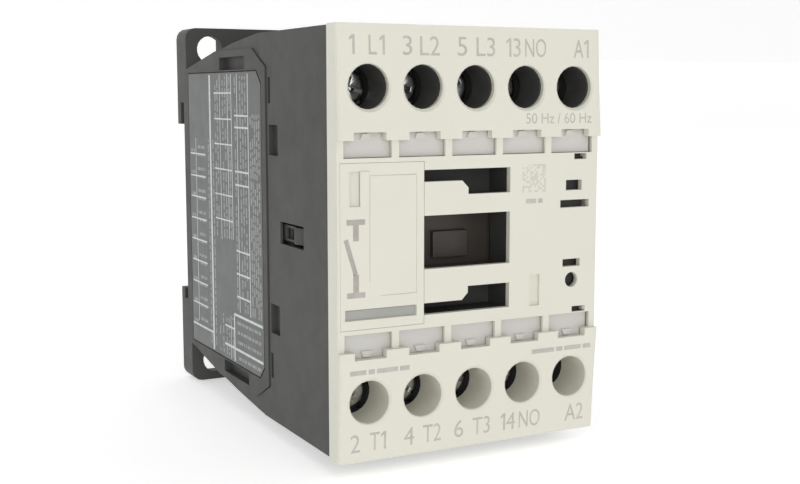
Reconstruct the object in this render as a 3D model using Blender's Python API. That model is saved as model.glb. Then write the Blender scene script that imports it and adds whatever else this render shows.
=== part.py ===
"""Small-frame contactor for a 35 mm rail: four poles, screw terminals and an AC magnet.

The origin is on the rear seat that rests on the rail. +X is right seen from the front, +Z is up and
-Y faces the user. All sizes are in metres, and every stated size is a named constant written once.
"""

import math

import bmesh
import bpy

MM = 0.001

# Clearances
GAP = 0.3 * MM  # between pieces that touch or nearly touch
STICKER_GAP = 0.1 * MM  # behind a glued label
SLIDE_GAP = 0.6 * MM  # beside a sliding piece
OVER = 1.0 * MM  # how far a cutter runs past the face it opens

# Overall sizes
WIDTH = 45.0 * MM
DEPTH = 75.0 * MM
COVER_HEIGHT = 63.0 * MM
FLANGE_HEIGHT = 68.0 * MM

# Poles and terminals
POLES = 5
CONTACT_POLES = 4
POLE_PITCH = 8.8 * MM
POLE_WALL = 1.4 * MM
ROW_Z = 22.7 * MM
TUNNEL_D = 6.4 * MM
SLEEVE_WALL = 0.6 * MM
HEAD_PLAY = 0.6 * MM
HEAD_THICK = 2.0 * MM
SHANK_D = 3.5 * MM
SHANK_LENGTH = 7.8 * MM
SHANK_PLAY = 0.7 * MM
HEAD_DEPTH = 7.7 * MM
HEAD_ROOM = 0.6 * MM
CLAMP_THICK = 1.2 * MM
CLAMP_STROKE = 2.4 * MM
BAR_THICK = 1.2 * MM
BAR_LENGTH = 7.9 * MM
POCKET_SPARE = 0.6 * MM
ENTRY_WIDTH = 6.6 * MM
ENTRY_DEPTH = 5.7 * MM

# Contacts
TRAVEL = 4.0 * MM
TRAVEL_SPARE = 0.1 * MM
OVERTRAVEL = 1.0 * MM
BRIDGE_WIDTH = 3.6 * MM
BRIDGE_THICK = 1.0 * MM
BRIDGE_LENGTH = 20.8 * MM
TIP_THICK = 0.8 * MM
TIP_LENGTH = 2.6 * MM
TIP_CENTRE_Z = 8.7 * MM
STRIP_WIDTH = 4.8 * MM
CHAMBER_HALF_Z = 15.4 * MM
CONTACT_SPRING_LENGTH = 3.6 * MM
CONTACT_SPRING_R = 1.4 * MM
CONTACT_SPRING_WIRE = 0.45 * MM
CARRIER_WALL = 0.65 * MM
CARRIER_FRONT = 0.9 * MM
CARRIER_BACK = 1.5 * MM
CARRIER_HALF_Z = 5.0 * MM
CARRIER_HEAD = ((-3.1 * MM, 3.1 * MM), (-3.4 * MM, 0.7 * MM))
CARRIER_HEAD_RISE = 1.0 * MM
STEM_HALF_X = 6.0 * MM
HOLDER_HALF_X = 17.0 * MM
HOLDER_HALF_Z = 12.9 * MM
HOLDER_THICK = 1.5 * MM

# Magnet
LEG_CENTRE_HALF = 4.5 * MM
LEG_OUTER = (11.5 * MM, 15.5 * MM)
STACK_HALF_Z = 6.0 * MM
YOKE_THICK = 5.5 * MM
BOBBIN_WALL = 0.8 * MM
BOBBIN_FLANGE = 1.0 * MM
BOBBIN_HALF_X = 11.1 * MM
BOBBIN_HALF_Z = 13.0 * MM
CUSHION_THICK = 1.0 * MM
RING_WIRE = 0.8 * MM
RING_INNER_X = 13.2 * MM
RING_SINK = 0.5 * MM
RING_HEIGHT = 1.5 * MM
RETURN_SPRING_R = 1.8 * MM
RETURN_SPRING_WIRE = 0.6 * MM
RETURN_SPRING_Z = 10.3 * MM
KEY_D = 2.5 * MM
KEY_Y_IN_YOKE = 2.7 * MM
CHEEK_THICK = 1.4 * MM
CHEEK_HALF_X = 5.0 * MM
CHEEK_LENGTH = 4.4 * MM

# Cover
COVER_SKIRT = 4.0 * MM
COVER_SLOPE = 0.6 * MM
COVER_STEP = 0.8 * MM
COVER_WALL = 1.2 * MM
COVER_FRONT_WALL = 2.4 * MM
COVER_THIN = 1.0 * MM
COVER_EDGE_R = 0.8 * MM
CASTLE_Z = 15.15 * MM
CASTLE_DEEP = 1.15 * MM
CASTLE_WIDTH = 5.1 * MM
MARKER_Z = (12.65 * MM, 15.15 * MM)
MARKER_RIB = 1.15 * MM
MARKER_RIB_DEEP = 0.5 * MM
MARKER_THICK = 0.8 * MM
PANEL_X = (-22.05 * MM, -8.45 * MM)
PANEL_HALF_Z = 12.0 * MM
PANEL_THICK = 0.9 * MM
WINDOW_X = (-8.5 * MM, 6.35 * MM)
WINDOW_Z = (-3.9 * MM, 4.0 * MM)
ACCESSORY_Z = (6.9 * MM, 10.7 * MM)
ACCESSORY_STEP_Z = 8.95 * MM
ACCESSORY_STEP_X = (-2.05 * MM, -1.0 * MM)

# Housings
HOUSING_INSET = 0.4 * MM
SEAM_DEPTH = 28.5 * MM
SEAM_SHOULDER = 3.0 * MM
SEAM_Z = (26.0 * MM, 27.5 * MM)
FLOOR_THICK = 2.5 * MM
SIDE_SLOT_DEEP = 1.0 * MM
REAR_CAVITY_HALF = (19.5 * MM, 14.5 * MM)
MAGNET_CAVITY_HALF = (19.8 * MM, 24.0 * MM)
ARM_INSET = 1.8 * MM
ARM_THICK = 0.6 * MM
ARM_HALF_Z = 1.3 * MM
ARM_NOSE = 0.6 * MM
ARM_NOSE_Y = (15.0 * MM, 18.0 * MM)
SNAP_WINDOW_Y = (13.8 * MM, 23.1 * MM)
SNAP_WINDOW_HALF_Z = 1.75 * MM
PAD_RISE = 0.35 * MM
LABEL_THICK = 0.2 * MM
LABEL_Y = (33.5 * MM, 71.0 * MM)
LABEL_HALF_Z = 25.3 * MM
LABEL_CORNER = 2.0 * MM

# Rail foot
FLANGE_LIP = 3.2 * MM
FLANGE_THICK = 5.8 * MM
FLANGE_PLATE = 2.0 * MM
FLANGE_CORNER_R = 2.0 * MM
RAIL_OPENING_Z = (-16.0 * MM, 15.9 * MM)
RAIL_FLOOR = 0.65 * MM
RAIL_GROOVE = (-0.65 * MM, 1.3 * MM)
RAIL_HOOK_Z = -18.0 * MM
RAIL_SPRING_Z = 17.7 * MM
RAIL_SPRING_HALF_X = 12.0 * MM
RAIL_SPRING_STROKE = 2.0 * MM
RAIL_SPRING_TALL = 2.4 * MM
SEAT_PAD_Z = (-6.1 * MM, 7.3 * MM)
MOUNT_HOLE_D = 5.1 * MM
MOUNT_HOLE_X = 17.5 * MM
MOUNT_HOLE_Z = 30.0 * MM
CORING_X = (14.4 * MM, 21.3 * MM)
CORING_Z = (27.0 * MM, 33.2 * MM)

# Derived stations along Y, front to back
BACK_Y = FLANGE_LIP
FRONT_Y = BACK_Y - DEPTH
MIDDLE_Y = FRONT_Y + COVER_STEP
COVER_BACK_Y = FRONT_Y + COVER_SKIRT
COVER_INNER_Y = FRONT_Y + COVER_FRONT_WALL
TERMINAL_INNER_Y = FRONT_Y + 0.3 * MM + COVER_THIN
HOUSING_FRONT_Y = COVER_INNER_Y + GAP
HEAD_Y = FRONT_Y + HEAD_DEPTH
CHAMBER_Y = HEAD_Y - HEAD_ROOM
CLAMP_Y = HEAD_Y + HEAD_THICK + GAP
BAR_Y = CLAMP_Y + CLAMP_THICK + CLAMP_STROKE + GAP
SHANK_END_Y = HEAD_Y + HEAD_THICK + SHANK_LENGTH
POCKET_Y = SHANK_END_Y + CLAMP_STROKE + POCKET_SPARE
SEAM_Y = FRONT_Y + SEAM_DEPTH
BRIDGE_Y = BAR_Y
BRIDGE_GAP = TRAVEL - OVERTRAVEL + TRAVEL_SPARE
TIP_Y = BRIDGE_Y + BRIDGE_THICK + TIP_THICK + BRIDGE_GAP
LOW_BAR_Y = TIP_Y + TIP_THICK
FLOOR_Y = LOW_BAR_Y + BAR_THICK + GAP
FLOOR_BACK_Y = FLOOR_Y + FLOOR_THICK
CARRIER_Y = BRIDGE_Y - CONTACT_SPRING_LENGTH - 2 * GAP - CARRIER_FRONT
CARRIER_LEDGE_Y = BRIDGE_Y + BRIDGE_THICK + GAP
CARRIER_BACK_Y = CARRIER_LEDGE_Y + CARRIER_BACK
HOLDER_Y = FLOOR_BACK_Y + 0.5 * MM
ARMATURE_Y = HOLDER_Y + HOLDER_THICK + GAP
ARMATURE_BACK_Y = ARMATURE_Y + YOKE_THICK
BOBBIN_Y = ARMATURE_BACK_Y + TRAVEL + GAP
FLANGE_Y = BACK_Y - FLANGE_THICK
CAVITY_BACK_Y = FLANGE_Y - 0.8 * MM
CUSHION_Y = CAVITY_BACK_Y - GAP - CUSHION_THICK
CORE_BACK_Y = CUSHION_Y - GAP
CORE_YOKE_Y = CORE_BACK_Y - YOKE_THICK
BOBBIN_BACK_Y = CORE_YOKE_Y - GAP
POLE_FACE_Y = CORE_YOKE_Y - 0.57 * (CORE_YOKE_Y - ARMATURE_BACK_Y - TRAVEL)
ARMATURE_FACE_Y = POLE_FACE_Y - TRAVEL - TRAVEL_SPARE

# Derived widths
HALF_WIDTH = WIDTH / 2
HALF_COVER = COVER_HEIGHT / 2
TUNNEL_R = TUNNEL_D / 2
HEAD_R = (TUNNEL_D - HEAD_PLAY) / 2
CHAMBER_HALF_X = (POLE_PITCH - POLE_WALL) / 2
BAR_HALF_X = CHAMBER_HALF_X - 0.5 * MM
HOUSING_HALF_X = HALF_WIDTH - HOUSING_INSET
HOUSING_HALF_Z = HALF_COVER - 0.1 * MM
CONTACT_HALF_X = STRIP_WIDTH / 2 + 0.5 * MM
CARRIER_SLOT = BRIDGE_WIDTH / 2 + GAP
CHANNEL_HALF_Z = CARRIER_HALF_Z + SLIDE_GAP
ARM_X = (HALF_WIDTH - ARM_INSET, HALF_WIDTH - ARM_INSET + ARM_THICK)
MAGNET_HALF_X = HALF_WIDTH - 0.2 * MM - PAD_RISE
PAD_HALF_X = MAGNET_HALF_X + PAD_RISE
TUBE_HALF_X = LEG_CENTRE_HALF + 0.4 * MM + BOBBIN_WALL
TUBE_HALF_Z = STACK_HALF_Z + 0.4 * MM + BOBBIN_WALL


def pole_x(index):
    """X of the pole or terminal with this index, counted from the left."""
    return (index - (POLES - 1) / 2) * POLE_PITCH


# Materials


def plastic(name, colour, roughness=0.5, metallic=0.0):
    """One Principled material."""
    material = bpy.data.materials.new(name)
    material.use_nodes = True
    shader = material.node_tree.nodes["Principled BSDF"]
    shader.inputs["Base Color"].default_value = (*colour, 1.0)
    shader.inputs["Roughness"].default_value = roughness
    shader.inputs["Metallic"].default_value = metallic
    material.diffuse_color = (*colour, 1.0)
    return material


# Mesh builders. Each adds one closed body to a bmesh.


def add_box(bm, x, y, z):
    """A box between the two ends of x, y and z."""
    verts = [bm.verts.new((a, b, c)) for a in x for b in y for c in z]
    for quad in ((0, 1, 3, 2), (4, 6, 7, 5), (0, 4, 5, 1), (2, 3, 7, 6), (0, 2, 6, 4), (1, 5, 7, 3)):
        bm.faces.new([verts[i] for i in quad])


def add_prism(bm, outline, axis, low, high):
    """An outline drawn in the plane across the axis, extruded from low to high."""

    def place(point, along):
        if axis == "X":
            return (along, point[0], point[1])
        if axis == "Y":
            return (point[0], along, point[1])
        return (point[0], point[1], along)

    first = [bm.verts.new(place(point, low)) for point in outline]
    last = [bm.verts.new(place(point, high)) for point in outline]
    bm.faces.new(first)
    bm.faces.new(last)
    for i in range(len(outline)):
        j = (i + 1) % len(outline)
        bm.faces.new((first[i], first[j], last[j], last[i]))


def add_turned(bm, profile, x, z, segments, hollow=False):
    """A profile of (radius, y) points turned about the Y axis through x, z."""
    rings = []
    for radius, y in profile:
        ring = []
        for k in range(segments):
            angle = 2 * math.pi * (k + 0.5) / segments
            ring.append(bm.verts.new((x + radius * math.cos(angle), y, z + radius * math.sin(angle))))
        rings.append(ring)
    pairs = list(zip(rings, rings[1:]))
    if hollow:
        pairs.append((rings[-1], rings[0]))
    else:
        bm.faces.new(rings[0])
        bm.faces.new(rings[-1])
    for low, high in pairs:
        for k in range(segments):
            n = (k + 1) % segments
            bm.faces.new((low[k], low[n], high[n], high[k]))


def add_spring(bm, y0, y1, radius, wire, turns, steps=10, sides=5):
    """A coil spring about the Y axis, with its wire ends cut square."""
    count = int(turns * steps)
    lead = (y1 - y0 - wire) / turns
    rings = []
    for i in range(count + 1):
        angle = 2 * math.pi * i / steps
        out = (math.cos(angle), math.sin(angle))
        y = y0 + wire / 2 + lead * i / steps
        ring = []
        for k in range(sides):
            around = 2 * math.pi * k / sides
            reach = radius + wire / 2 * math.cos(around)
            ring.append(bm.verts.new((reach * out[0], y + wire / 2 * math.sin(around), reach * out[1])))
        rings.append(ring)
    bm.faces.new(rings[0])
    bm.faces.new(rings[-1])
    for low, high in zip(rings, rings[1:]):
        for k in range(sides):
            n = (k + 1) % sides
            bm.faces.new((low[k], low[n], high[n], high[k]))


def mesh_from(name, build):
    """A mesh whose faces point out, made by a function that fills a bmesh."""
    bm = bmesh.new()
    build(bm)
    bmesh.ops.recalc_face_normals(bm, faces=bm.faces)
    mesh = bpy.data.meshes.new(name)
    bm.to_mesh(mesh)
    bm.free()
    return mesh


def piece(name, mesh, material, location=(0, 0, 0), turn_y=0.0, parent=None):
    """One named piece of the contactor."""
    if not mesh.materials:
        mesh.materials.append(material)
    obj = bpy.data.objects.new(name, mesh)
    obj.location = location
    obj.rotation_euler = (0, turn_y, 0)
    obj.parent = parent
    bpy.context.scene.collection.objects.link(obj)
    return obj


def helper(name, build):
    """A hidden shape for a Boolean."""
    obj = bpy.data.objects.new(name, mesh_from(name, build))
    obj.hide_render = True
    obj.display_type = "WIRE"
    bpy.context.scene.collection.objects.link(obj)
    return obj


def boolean(obj, operation, name, build, crossing=False):
    """Adds a Boolean; crossing says that the tool's own bodies may run into each other."""
    modifier = obj.modifiers.new(name, "BOOLEAN")
    modifier.operation = operation
    modifier.solver = "EXACT"
    modifier.use_self = crossing
    modifier.object = helper(f"{obj.name}_{name}", build)


def cut(obj, name, build, crossing=False):
    boolean(obj, "DIFFERENCE", name, build, crossing)


def join(obj, name, build, crossing=False):
    boolean(obj, "UNION", name, build, crossing)


def boxes(*triples):
    """A function that adds each box in turn."""

    def build(bm):
        for x, y, z in triples:
            add_box(bm, x, y, z)

    return build


def smooth(mesh):
    """Smooth shading with sharp edges, for a round piece."""
    mesh.shade_smooth()
    mesh.set_sharp_from_angle(angle=math.radians(35))


def span(centre, half):
    return (centre - half, centre + half)


def mirror_z(low, high):
    """The same span above and below the middle."""
    return ((low, high), (-high, -low))


# Pieces


def build_cover(material):
    """Front cover: a shallow tray with sloping terminal ends and a stepped middle."""

    def shell(bm):
        crest = FRONT_Y - OVER * COVER_SLOPE / (HALF_COVER - CASTLE_Z)
        outline = [
            (COVER_BACK_Y, -HALF_COVER),
            (FRONT_Y + COVER_SLOPE, -HALF_COVER),
            (crest, OVER - CASTLE_Z),
            (crest, CASTLE_Z - OVER),
            (FRONT_Y + COVER_SLOPE, HALF_COVER),
            (COVER_BACK_Y, HALF_COVER),
        ]
        add_prism(bm, outline, "X", -HALF_WIDTH, HALF_WIDTH)
        limit = FRONT_Y + COVER_SLOPE + 1e-6
        edges = []
        for edge in bm.edges:
            ends = [vert.co for vert in edge.verts]
            same_side = abs(ends[0].x - ends[1].x) < 1e-6
            if same_side and all(end.y < limit for end in ends):
                edges.append(edge)
        bmesh.ops.bevel(
            bm,
            geom=edges,
            offset=COVER_EDGE_R,
            segments=3,
            profile=0.5,
            affect="EDGES",
            material=-1,
        )

    cover = piece("front_cover", mesh_from("front_cover", shell), material)

    def sleeves(bm):
        for i in range(POLES):
            profile = [
                (TUNNEL_R + SLEEVE_WALL, TERMINAL_INNER_Y - OVER / 2),
                (TUNNEL_R + SLEEVE_WALL, CHAMBER_Y),
            ]
            add_turned(bm, profile, pole_x(i), -ROW_Z, 20)

    inner_x = (-HALF_WIDTH + COVER_WALL, HALF_WIDTH - COVER_WALL)
    inner_z = (-HALF_COVER + COVER_WALL, HALF_COVER - COVER_WALL)
    cut(cover, "inside", boxes((inner_x, (COVER_INNER_Y, COVER_BACK_Y + OVER), inner_z)))
    thin = [((WINDOW_X[0] + OVER, inner_x[1]), (MIDDLE_Y + COVER_THIN, COVER_INNER_Y + OVER), span(0.0, PANEL_HALF_Z - 0.1 * MM))]
    for z in mirror_z(CASTLE_Z + CASTLE_DEEP + 0.9 * MM, inner_z[1]):
        thin.append((inner_x, (TERMINAL_INNER_Y, COVER_INNER_Y + OVER), z))
    cut(cover, "thin_areas", boxes(*thin))
    join(cover, "sleeves", sleeves, crossing=True)

    def middle(bm):
        reach = HALF_WIDTH + OVER
        top = [(-reach, CASTLE_Z)]
        for i in range(POLES):
            x0, x1 = span(pole_x(i), CASTLE_WIDTH / 2)
            high = CASTLE_Z + CASTLE_DEEP
            top += [(x0, CASTLE_Z), (x0, high), (x1, high), (x1, CASTLE_Z)]
        top.append((reach, CASTLE_Z))
        bottom = [(x, -z) for x, z in reversed(top)]
        add_prism(bm, top + bottom, "Y", FRONT_Y - OVER, MIDDLE_Y)

    cut(cover, "middle", middle)

    def holes(bm):
        for i in range(POLES):
            for z in (ROW_Z, -ROW_Z):
                slope = COVER_SLOPE * (ROW_Z - CASTLE_Z) / (HALF_COVER - CASTLE_Z)
                rim = FRONT_Y + slope
                profile = [
                    (TUNNEL_R + OVER + 0.3 * MM, rim - OVER),
                    (TUNNEL_R, rim + 0.3 * MM),
                    (TUNNEL_R, CHAMBER_Y + OVER),
                ]
                add_turned(bm, profile, pole_x(i), z, 24)

    cut(cover, "holes", holes, crossing=True)

    channel_z = mirror_z(MARKER_Z[0] - 0.25 * MM, CASTLE_Z + CASTLE_DEEP + 0.35 * MM)
    channel_y = (MIDDLE_Y + MARKER_RIB_DEEP, COVER_INNER_Y + OVER)
    channel_x = span(0.0, HALF_WIDTH - 0.9 * MM)
    cut(cover, "marker_channels", boxes(*[(channel_x, channel_y, z) for z in channel_z]))

    half = (POLE_PITCH - MARKER_RIB) / 2
    windows = []
    for i in range(POLES):
        for z in mirror_z(*MARKER_Z):
            windows.append((span(pole_x(i), half), (FRONT_Y - OVER, channel_y[0] + 0.2 * MM), z))
        for z in mirror_z(MARKER_Z[1] - 0.4 * MM, CASTLE_Z + CASTLE_DEEP):
            windows.append((span(pole_x(i), CASTLE_WIDTH / 2), (FRONT_Y - OVER, channel_y[0] + 0.2 * MM), z))
    cut(cover, "marker_windows", boxes(*windows), crossing=True)

    pocket_y = (FRONT_Y - OVER, MIDDLE_Y + PANEL_THICK + GAP)
    cut(cover, "panel_pocket", boxes((PANEL_X, pocket_y, span(0.0, PANEL_HALF_Z))))

    through = (FRONT_Y - OVER, COVER_INNER_Y + OVER)
    cut(cover, "centre_window", boxes((WINDOW_X, through, WINDOW_Z)))

    def accessory(bm):
        chamfer = ACCESSORY_STEP_X[1] - ACCESSORY_STEP_X[0]
        upper = [
            (WINDOW_X[0], ACCESSORY_Z[1]),
            (WINDOW_X[0], ACCESSORY_STEP_Z),
            (ACCESSORY_STEP_X[0], ACCESSORY_STEP_Z),
            (ACCESSORY_STEP_X[1], ACCESSORY_STEP_Z - chamfer),
            (ACCESSORY_STEP_X[1], ACCESSORY_Z[0]),
            (WINDOW_X[1], ACCESSORY_Z[0]),
            (WINDOW_X[1], ACCESSORY_Z[1]),
        ]
        add_prism(bm, upper, "Y", *through)
        add_prism(bm, [(x, -z) for x, z in upper], "Y", *through)

    cut(cover, "accessory_openings", accessory)

    slots = [
        ((18.1 * MM, 20.4 * MM), (11.6 * MM, 12.5 * MM)),
        ((16.6 * MM, 19.6 * MM), (6.8 * MM, 8.4 * MM)),
        ((15.6 * MM, 21.0 * MM), (4.1 * MM, 5.3 * MM)),
        ((16.2 * MM, 19.5 * MM), (-5.2 * MM, -4.0 * MM)),
        ((18.1 * MM, 20.6 * MM), (-12.5 * MM, -11.6 * MM)),
    ]
    cut(cover, "latch_slots", boxes(*[(x, through, z) for x, z in slots]))
    shallow = (FRONT_Y - OVER, MIDDLE_Y + 0.5 * MM)
    cut(cover, "finger_recess", boxes(((10.1 * MM, 11.9 * MM), shallow, (-10.9 * MM, -6.0 * MM))))

    def test_hole(bm):
        add_turned(bm, [(1.2 * MM, through[0]), (1.2 * MM, through[1])], 17.9 * MM, -7.3 * MM, 16)

    cut(cover, "test_hole", test_hole)
    return cover


def build_marker_strip(name, sign, material):
    """Slide-in strip behind five marker windows, with a raised grip in each notch."""
    y0 = MIDDLE_Y + MARKER_RIB_DEEP + GAP
    x = span(0.0, HALF_WIDTH - 0.9 * MM - GAP)
    z = (MARKER_Z[0] + 0.05 * MM, CASTLE_Z + CASTLE_DEEP + 0.1 * MM)
    if sign < 0:
        z = (-z[1], -z[0])
    strip = piece(name, mesh_from(name, boxes((x, (y0, y0 + MARKER_THICK), z))), material)

    def grips(bm):
        for i in range(POLES):
            x0, x1 = span(pole_x(i) - 0.1 * MM, 0.9 * MM)
            taper = 0.35 * MM
            low = CASTLE_Z + 0.1 * MM
            high = CASTLE_Z + CASTLE_DEEP - 0.2 * MM
            outline = [(x0, low), (x1, low), (x1 - taper, high), (x0 + taper, high)]
            if sign < 0:
                outline = [(x, -z) for x, z in reversed(outline)]
            add_prism(bm, outline, "Y", y0 - 0.4 * MM, y0 + 0.2 * MM)

    join(strip, "grips", grips)
    return strip


def build_panel(material):
    """Snap-in name panel with a finger recess, a raised tab and a long slot."""
    x = (PANEL_X[0] + GAP, PANEL_X[1] - GAP)
    z = span(0.0, PANEL_HALF_Z - GAP)
    back = MIDDLE_Y + PANEL_THICK
    plate = boxes((x, (MIDDLE_Y, back), z))
    panel = piece("nameplate_panel", mesh_from("nameplate_panel", plate), material)
    deep = (MIDDLE_Y - OVER, MIDDLE_Y + 0.5 * MM)
    recesses = boxes(
        ((-21.3 * MM, -9.7 * MM), deep, (-10.6 * MM, -9.0 * MM)),
        ((-20.55 * MM, -18.95 * MM), deep, (5.8 * MM, 10.8 * MM)),
    )
    cut(panel, "recesses", recesses)
    return panel


def build_contact_housing(material):
    """Dark front housing with ten terminal chambers and four contact chambers."""
    seam = SEAM_Y - GAP
    outline = [
        (COVER_BACK_Y + GAP, -HOUSING_HALF_Z),
        (seam + SEAM_SHOULDER, -HOUSING_HALF_Z),
        (seam + SEAM_SHOULDER, -SEAM_Z[1]),
        (seam, -SEAM_Z[0]),
        (seam, SEAM_Z[0]),
        (seam + SEAM_SHOULDER, SEAM_Z[1]),
        (seam + SEAM_SHOULDER, HOUSING_HALF_Z),
        (COVER_BACK_Y + GAP, HOUSING_HALF_Z),
    ]

    def body(bm):
        add_prism(bm, outline, "X", -HOUSING_HALF_X, HOUSING_HALF_X)

    housing = piece("contact_housing", mesh_from("contact_housing", body), material)
    front_x = span(0.0, HALF_WIDTH - COVER_WALL - GAP)
    front_z = span(0.0, HALF_COVER - COVER_WALL - GAP)
    front_y = (HOUSING_FRONT_Y, COVER_BACK_Y + OVER)
    join(housing, "front_plate", boxes((front_x, front_y, front_z)))
    raised = []
    for z in mirror_z(CASTLE_Z + CASTLE_DEEP + 0.9 * MM + GAP, front_z[1]):
        raised.append((front_x, (TERMINAL_INNER_Y + GAP, HOUSING_FRONT_Y + OVER), z))
    join(housing, "raised_ends", boxes(*raised))

    def tunnels(bm):
        front = TERMINAL_INNER_Y + GAP - OVER
        sleeve_r = TUNNEL_R + SLEEVE_WALL + GAP
        for i in range(POLES):
            top = [(TUNNEL_R, front), (TUNNEL_R, CHAMBER_Y + OVER)]
            add_turned(bm, top, pole_x(i), ROW_Z, 24)
            low = [(sleeve_r, front), (sleeve_r, CHAMBER_Y + 0.1 * MM)]
            add_turned(bm, low, pole_x(i), -ROW_Z, 24)

    cut(housing, "tunnels", tunnels, crossing=True)

    inner_z = ROW_Z + BAR_HALF_X + GAP - BAR_LENGTH - 2 * GAP
    outer_z = ROW_Z + BAR_HALF_X + 0.7 * MM
    chambers = []
    entries = []
    for i in range(POLES):
        x = span(pole_x(i), CHAMBER_HALF_X)
        for z in mirror_z(inner_z, outer_z):
            chambers.append((x, (CHAMBER_Y, BAR_Y + BAR_THICK + GAP), z))
        entry_y = (BAR_Y + GAP - ENTRY_DEPTH, BAR_Y + GAP)
        for z in mirror_z(outer_z - OVER, HOUSING_HALF_Z + OVER):
            entries.append((span(pole_x(i), ENTRY_WIDTH / 2), entry_y, z))
    cut(housing, "chambers", boxes(*chambers))
    cut(housing, "wire_entries", boxes(*entries))

    def shank_pockets(bm):
        for i in range(POLES):
            for z in (ROW_Z, -ROW_Z):
                radius = (SHANK_D + SHANK_PLAY) / 2
                add_turned(bm, [(radius, BAR_Y), (radius, POCKET_Y)], pole_x(i), z, 12)

    cut(housing, "shank_pockets", shank_pockets)

    contacts = []
    risers = []
    for i in range(CONTACT_POLES):
        x = span(pole_x(i), CONTACT_HALF_X)
        contacts.append((x, (CARRIER_Y + 2.1 * MM, FLOOR_Y), span(0.0, CHAMBER_HALF_Z)))
        for z in mirror_z(CHAMBER_HALF_Z - OVER, inner_z + 0.7 * MM):
            risers.append((x, (BAR_Y - GAP, FLOOR_Y), z))
    cut(housing, "contact_chambers", boxes(*contacts))
    cut(housing, "riser_slots", boxes(*risers))

    right = pole_x(CONTACT_POLES - 1) + CARRIER_SLOT + CARRIER_WALL + GAP
    left = -ARM_X[0] + 0.05 * MM
    channel_y = (CARRIER_Y - SLIDE_GAP, FLOOR_Y + OVER / 2)
    cut(housing, "carrier_channel", boxes(((left, right), channel_y, span(0.0, CHANNEL_HALF_Z))))
    stem = span(0.0, STEM_HALF_X + SLIDE_GAP)
    cut(housing, "stem_hole", boxes((stem, (FLOOR_Y - OVER, FLOOR_BACK_Y + OVER), span(0.0, CHANNEL_HALF_Z))))

    cavity_x = span(0.0, REAR_CAVITY_HALF[0])
    cavity_z = span(0.0, REAR_CAVITY_HALF[1])
    cut(housing, "rear_cavity", boxes((cavity_x, (FLOOR_BACK_Y, seam + OVER), cavity_z)))

    head_x = (WINDOW_X[0] - OVER, WINDOW_X[1] + OVER)
    head_z = (WINDOW_Z[0] - 0.6 * MM, WINDOW_Z[1] + 0.6 * MM)
    head_y = (HOUSING_FRONT_Y - OVER, CARRIER_Y)
    cut(housing, "head_window", boxes((head_x, head_y, head_z)))
    pockets = []
    for z in mirror_z(ACCESSORY_Z[0] - 0.4 * MM, ACCESSORY_Z[1] + 0.3 * MM):
        pockets.append(((WINDOW_X[0] - 0.5 * MM, WINDOW_X[1] + 0.5 * MM), (head_y[0], HEAD_Y), z))
    cut(housing, "accessory_pockets", boxes(*pockets))

    arm_x = (ARM_X[0] - 0.05 * MM, ARM_X[1] + GAP)
    arm_y = (SEAM_Y - ARM_NOSE_Y[1] + 1.6 * MM - 4.0 * MM, seam + OVER)
    arm_z = span(0.0, ARM_HALF_Z + SLIDE_GAP)
    both = [arm_x, (-arm_x[1], -arm_x[0])]
    cut(housing, "arm_slots", boxes(*[(x, arm_y, arm_z) for x in both]))
    window_x = (ARM_X[1], HALF_WIDTH + OVER)
    window_y = (SEAM_Y - SNAP_WINDOW_Y[1] + 8.4 * MM, SEAM_Y - SNAP_WINDOW_Y[0] + 8.4 * MM)
    window_z = span(0.0, SNAP_WINDOW_HALF_Z)
    both = [window_x, (-window_x[1], -window_x[0])]
    cut(housing, "snap_windows", boxes(*[(x, window_y, window_z) for x in both]))

    side = []
    for x in ((HOUSING_HALF_X - SIDE_SLOT_DEEP, HALF_WIDTH + OVER), (-HALF_WIDTH - OVER, SIDE_SLOT_DEEP - HOUSING_HALF_X)):
        for z in mirror_z(12.0 * MM, 16.8 * MM):
            side.append((x, span(SEAM_Y - 2.85 * MM, 1.9 * MM), z))
        for z in mirror_z(20.2 * MM, 24.3 * MM):
            side.append((x, span(SEAM_Y - 1.2 * MM, 0.5 * MM), z))
    cut(housing, "side_slots", boxes(*side))

    coil = []
    for z in mirror_z(inner_z - 1.1 * MM, inner_z + 0.5 * MM):
        coil.append((span(pole_x(POLES - 1), 1.7 * MM), (BAR_Y, seam + SEAM_SHOULDER + OVER), z))
    cut(housing, "coil_lead_slots", boxes(*coil))
    return housing


def flange_outline(z0, z1, corner_z):
    """A rectangle whose two corners at corner_z are rounded."""
    half = PAD_HALF_X
    radius = FLANGE_CORNER_R
    sign = 1 if corner_z > 0 else -1
    inner = z0 if sign > 0 else z1
    points = [(-half, inner)]
    centre = corner_z - sign * radius
    for side in (-1, 1):
        steps = range(5) if side < 0 else range(4, -1, -1)
        for k in steps:
            angle = math.pi / 2 * k / 4
            x = side * (half - radius + radius * math.cos(angle))
            points.append((x, centre + sign * radius * math.sin(angle)))
    points.append((half, inner))
    return points


def label_outline(room):
    """The sticker's outline with its two front corners cut off, grown by some room."""
    y0 = FRONT_Y + LABEL_Y[0] - 3.0 * MM - room
    y1 = FLANGE_Y - 1.2 * MM + room
    half = LABEL_HALF_Z + room
    corner = LABEL_CORNER
    upper = [(y0, half - corner), (y0 + corner, half), (y1, half)]
    return upper + [(y, -z) for y, z in reversed(upper)]


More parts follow.
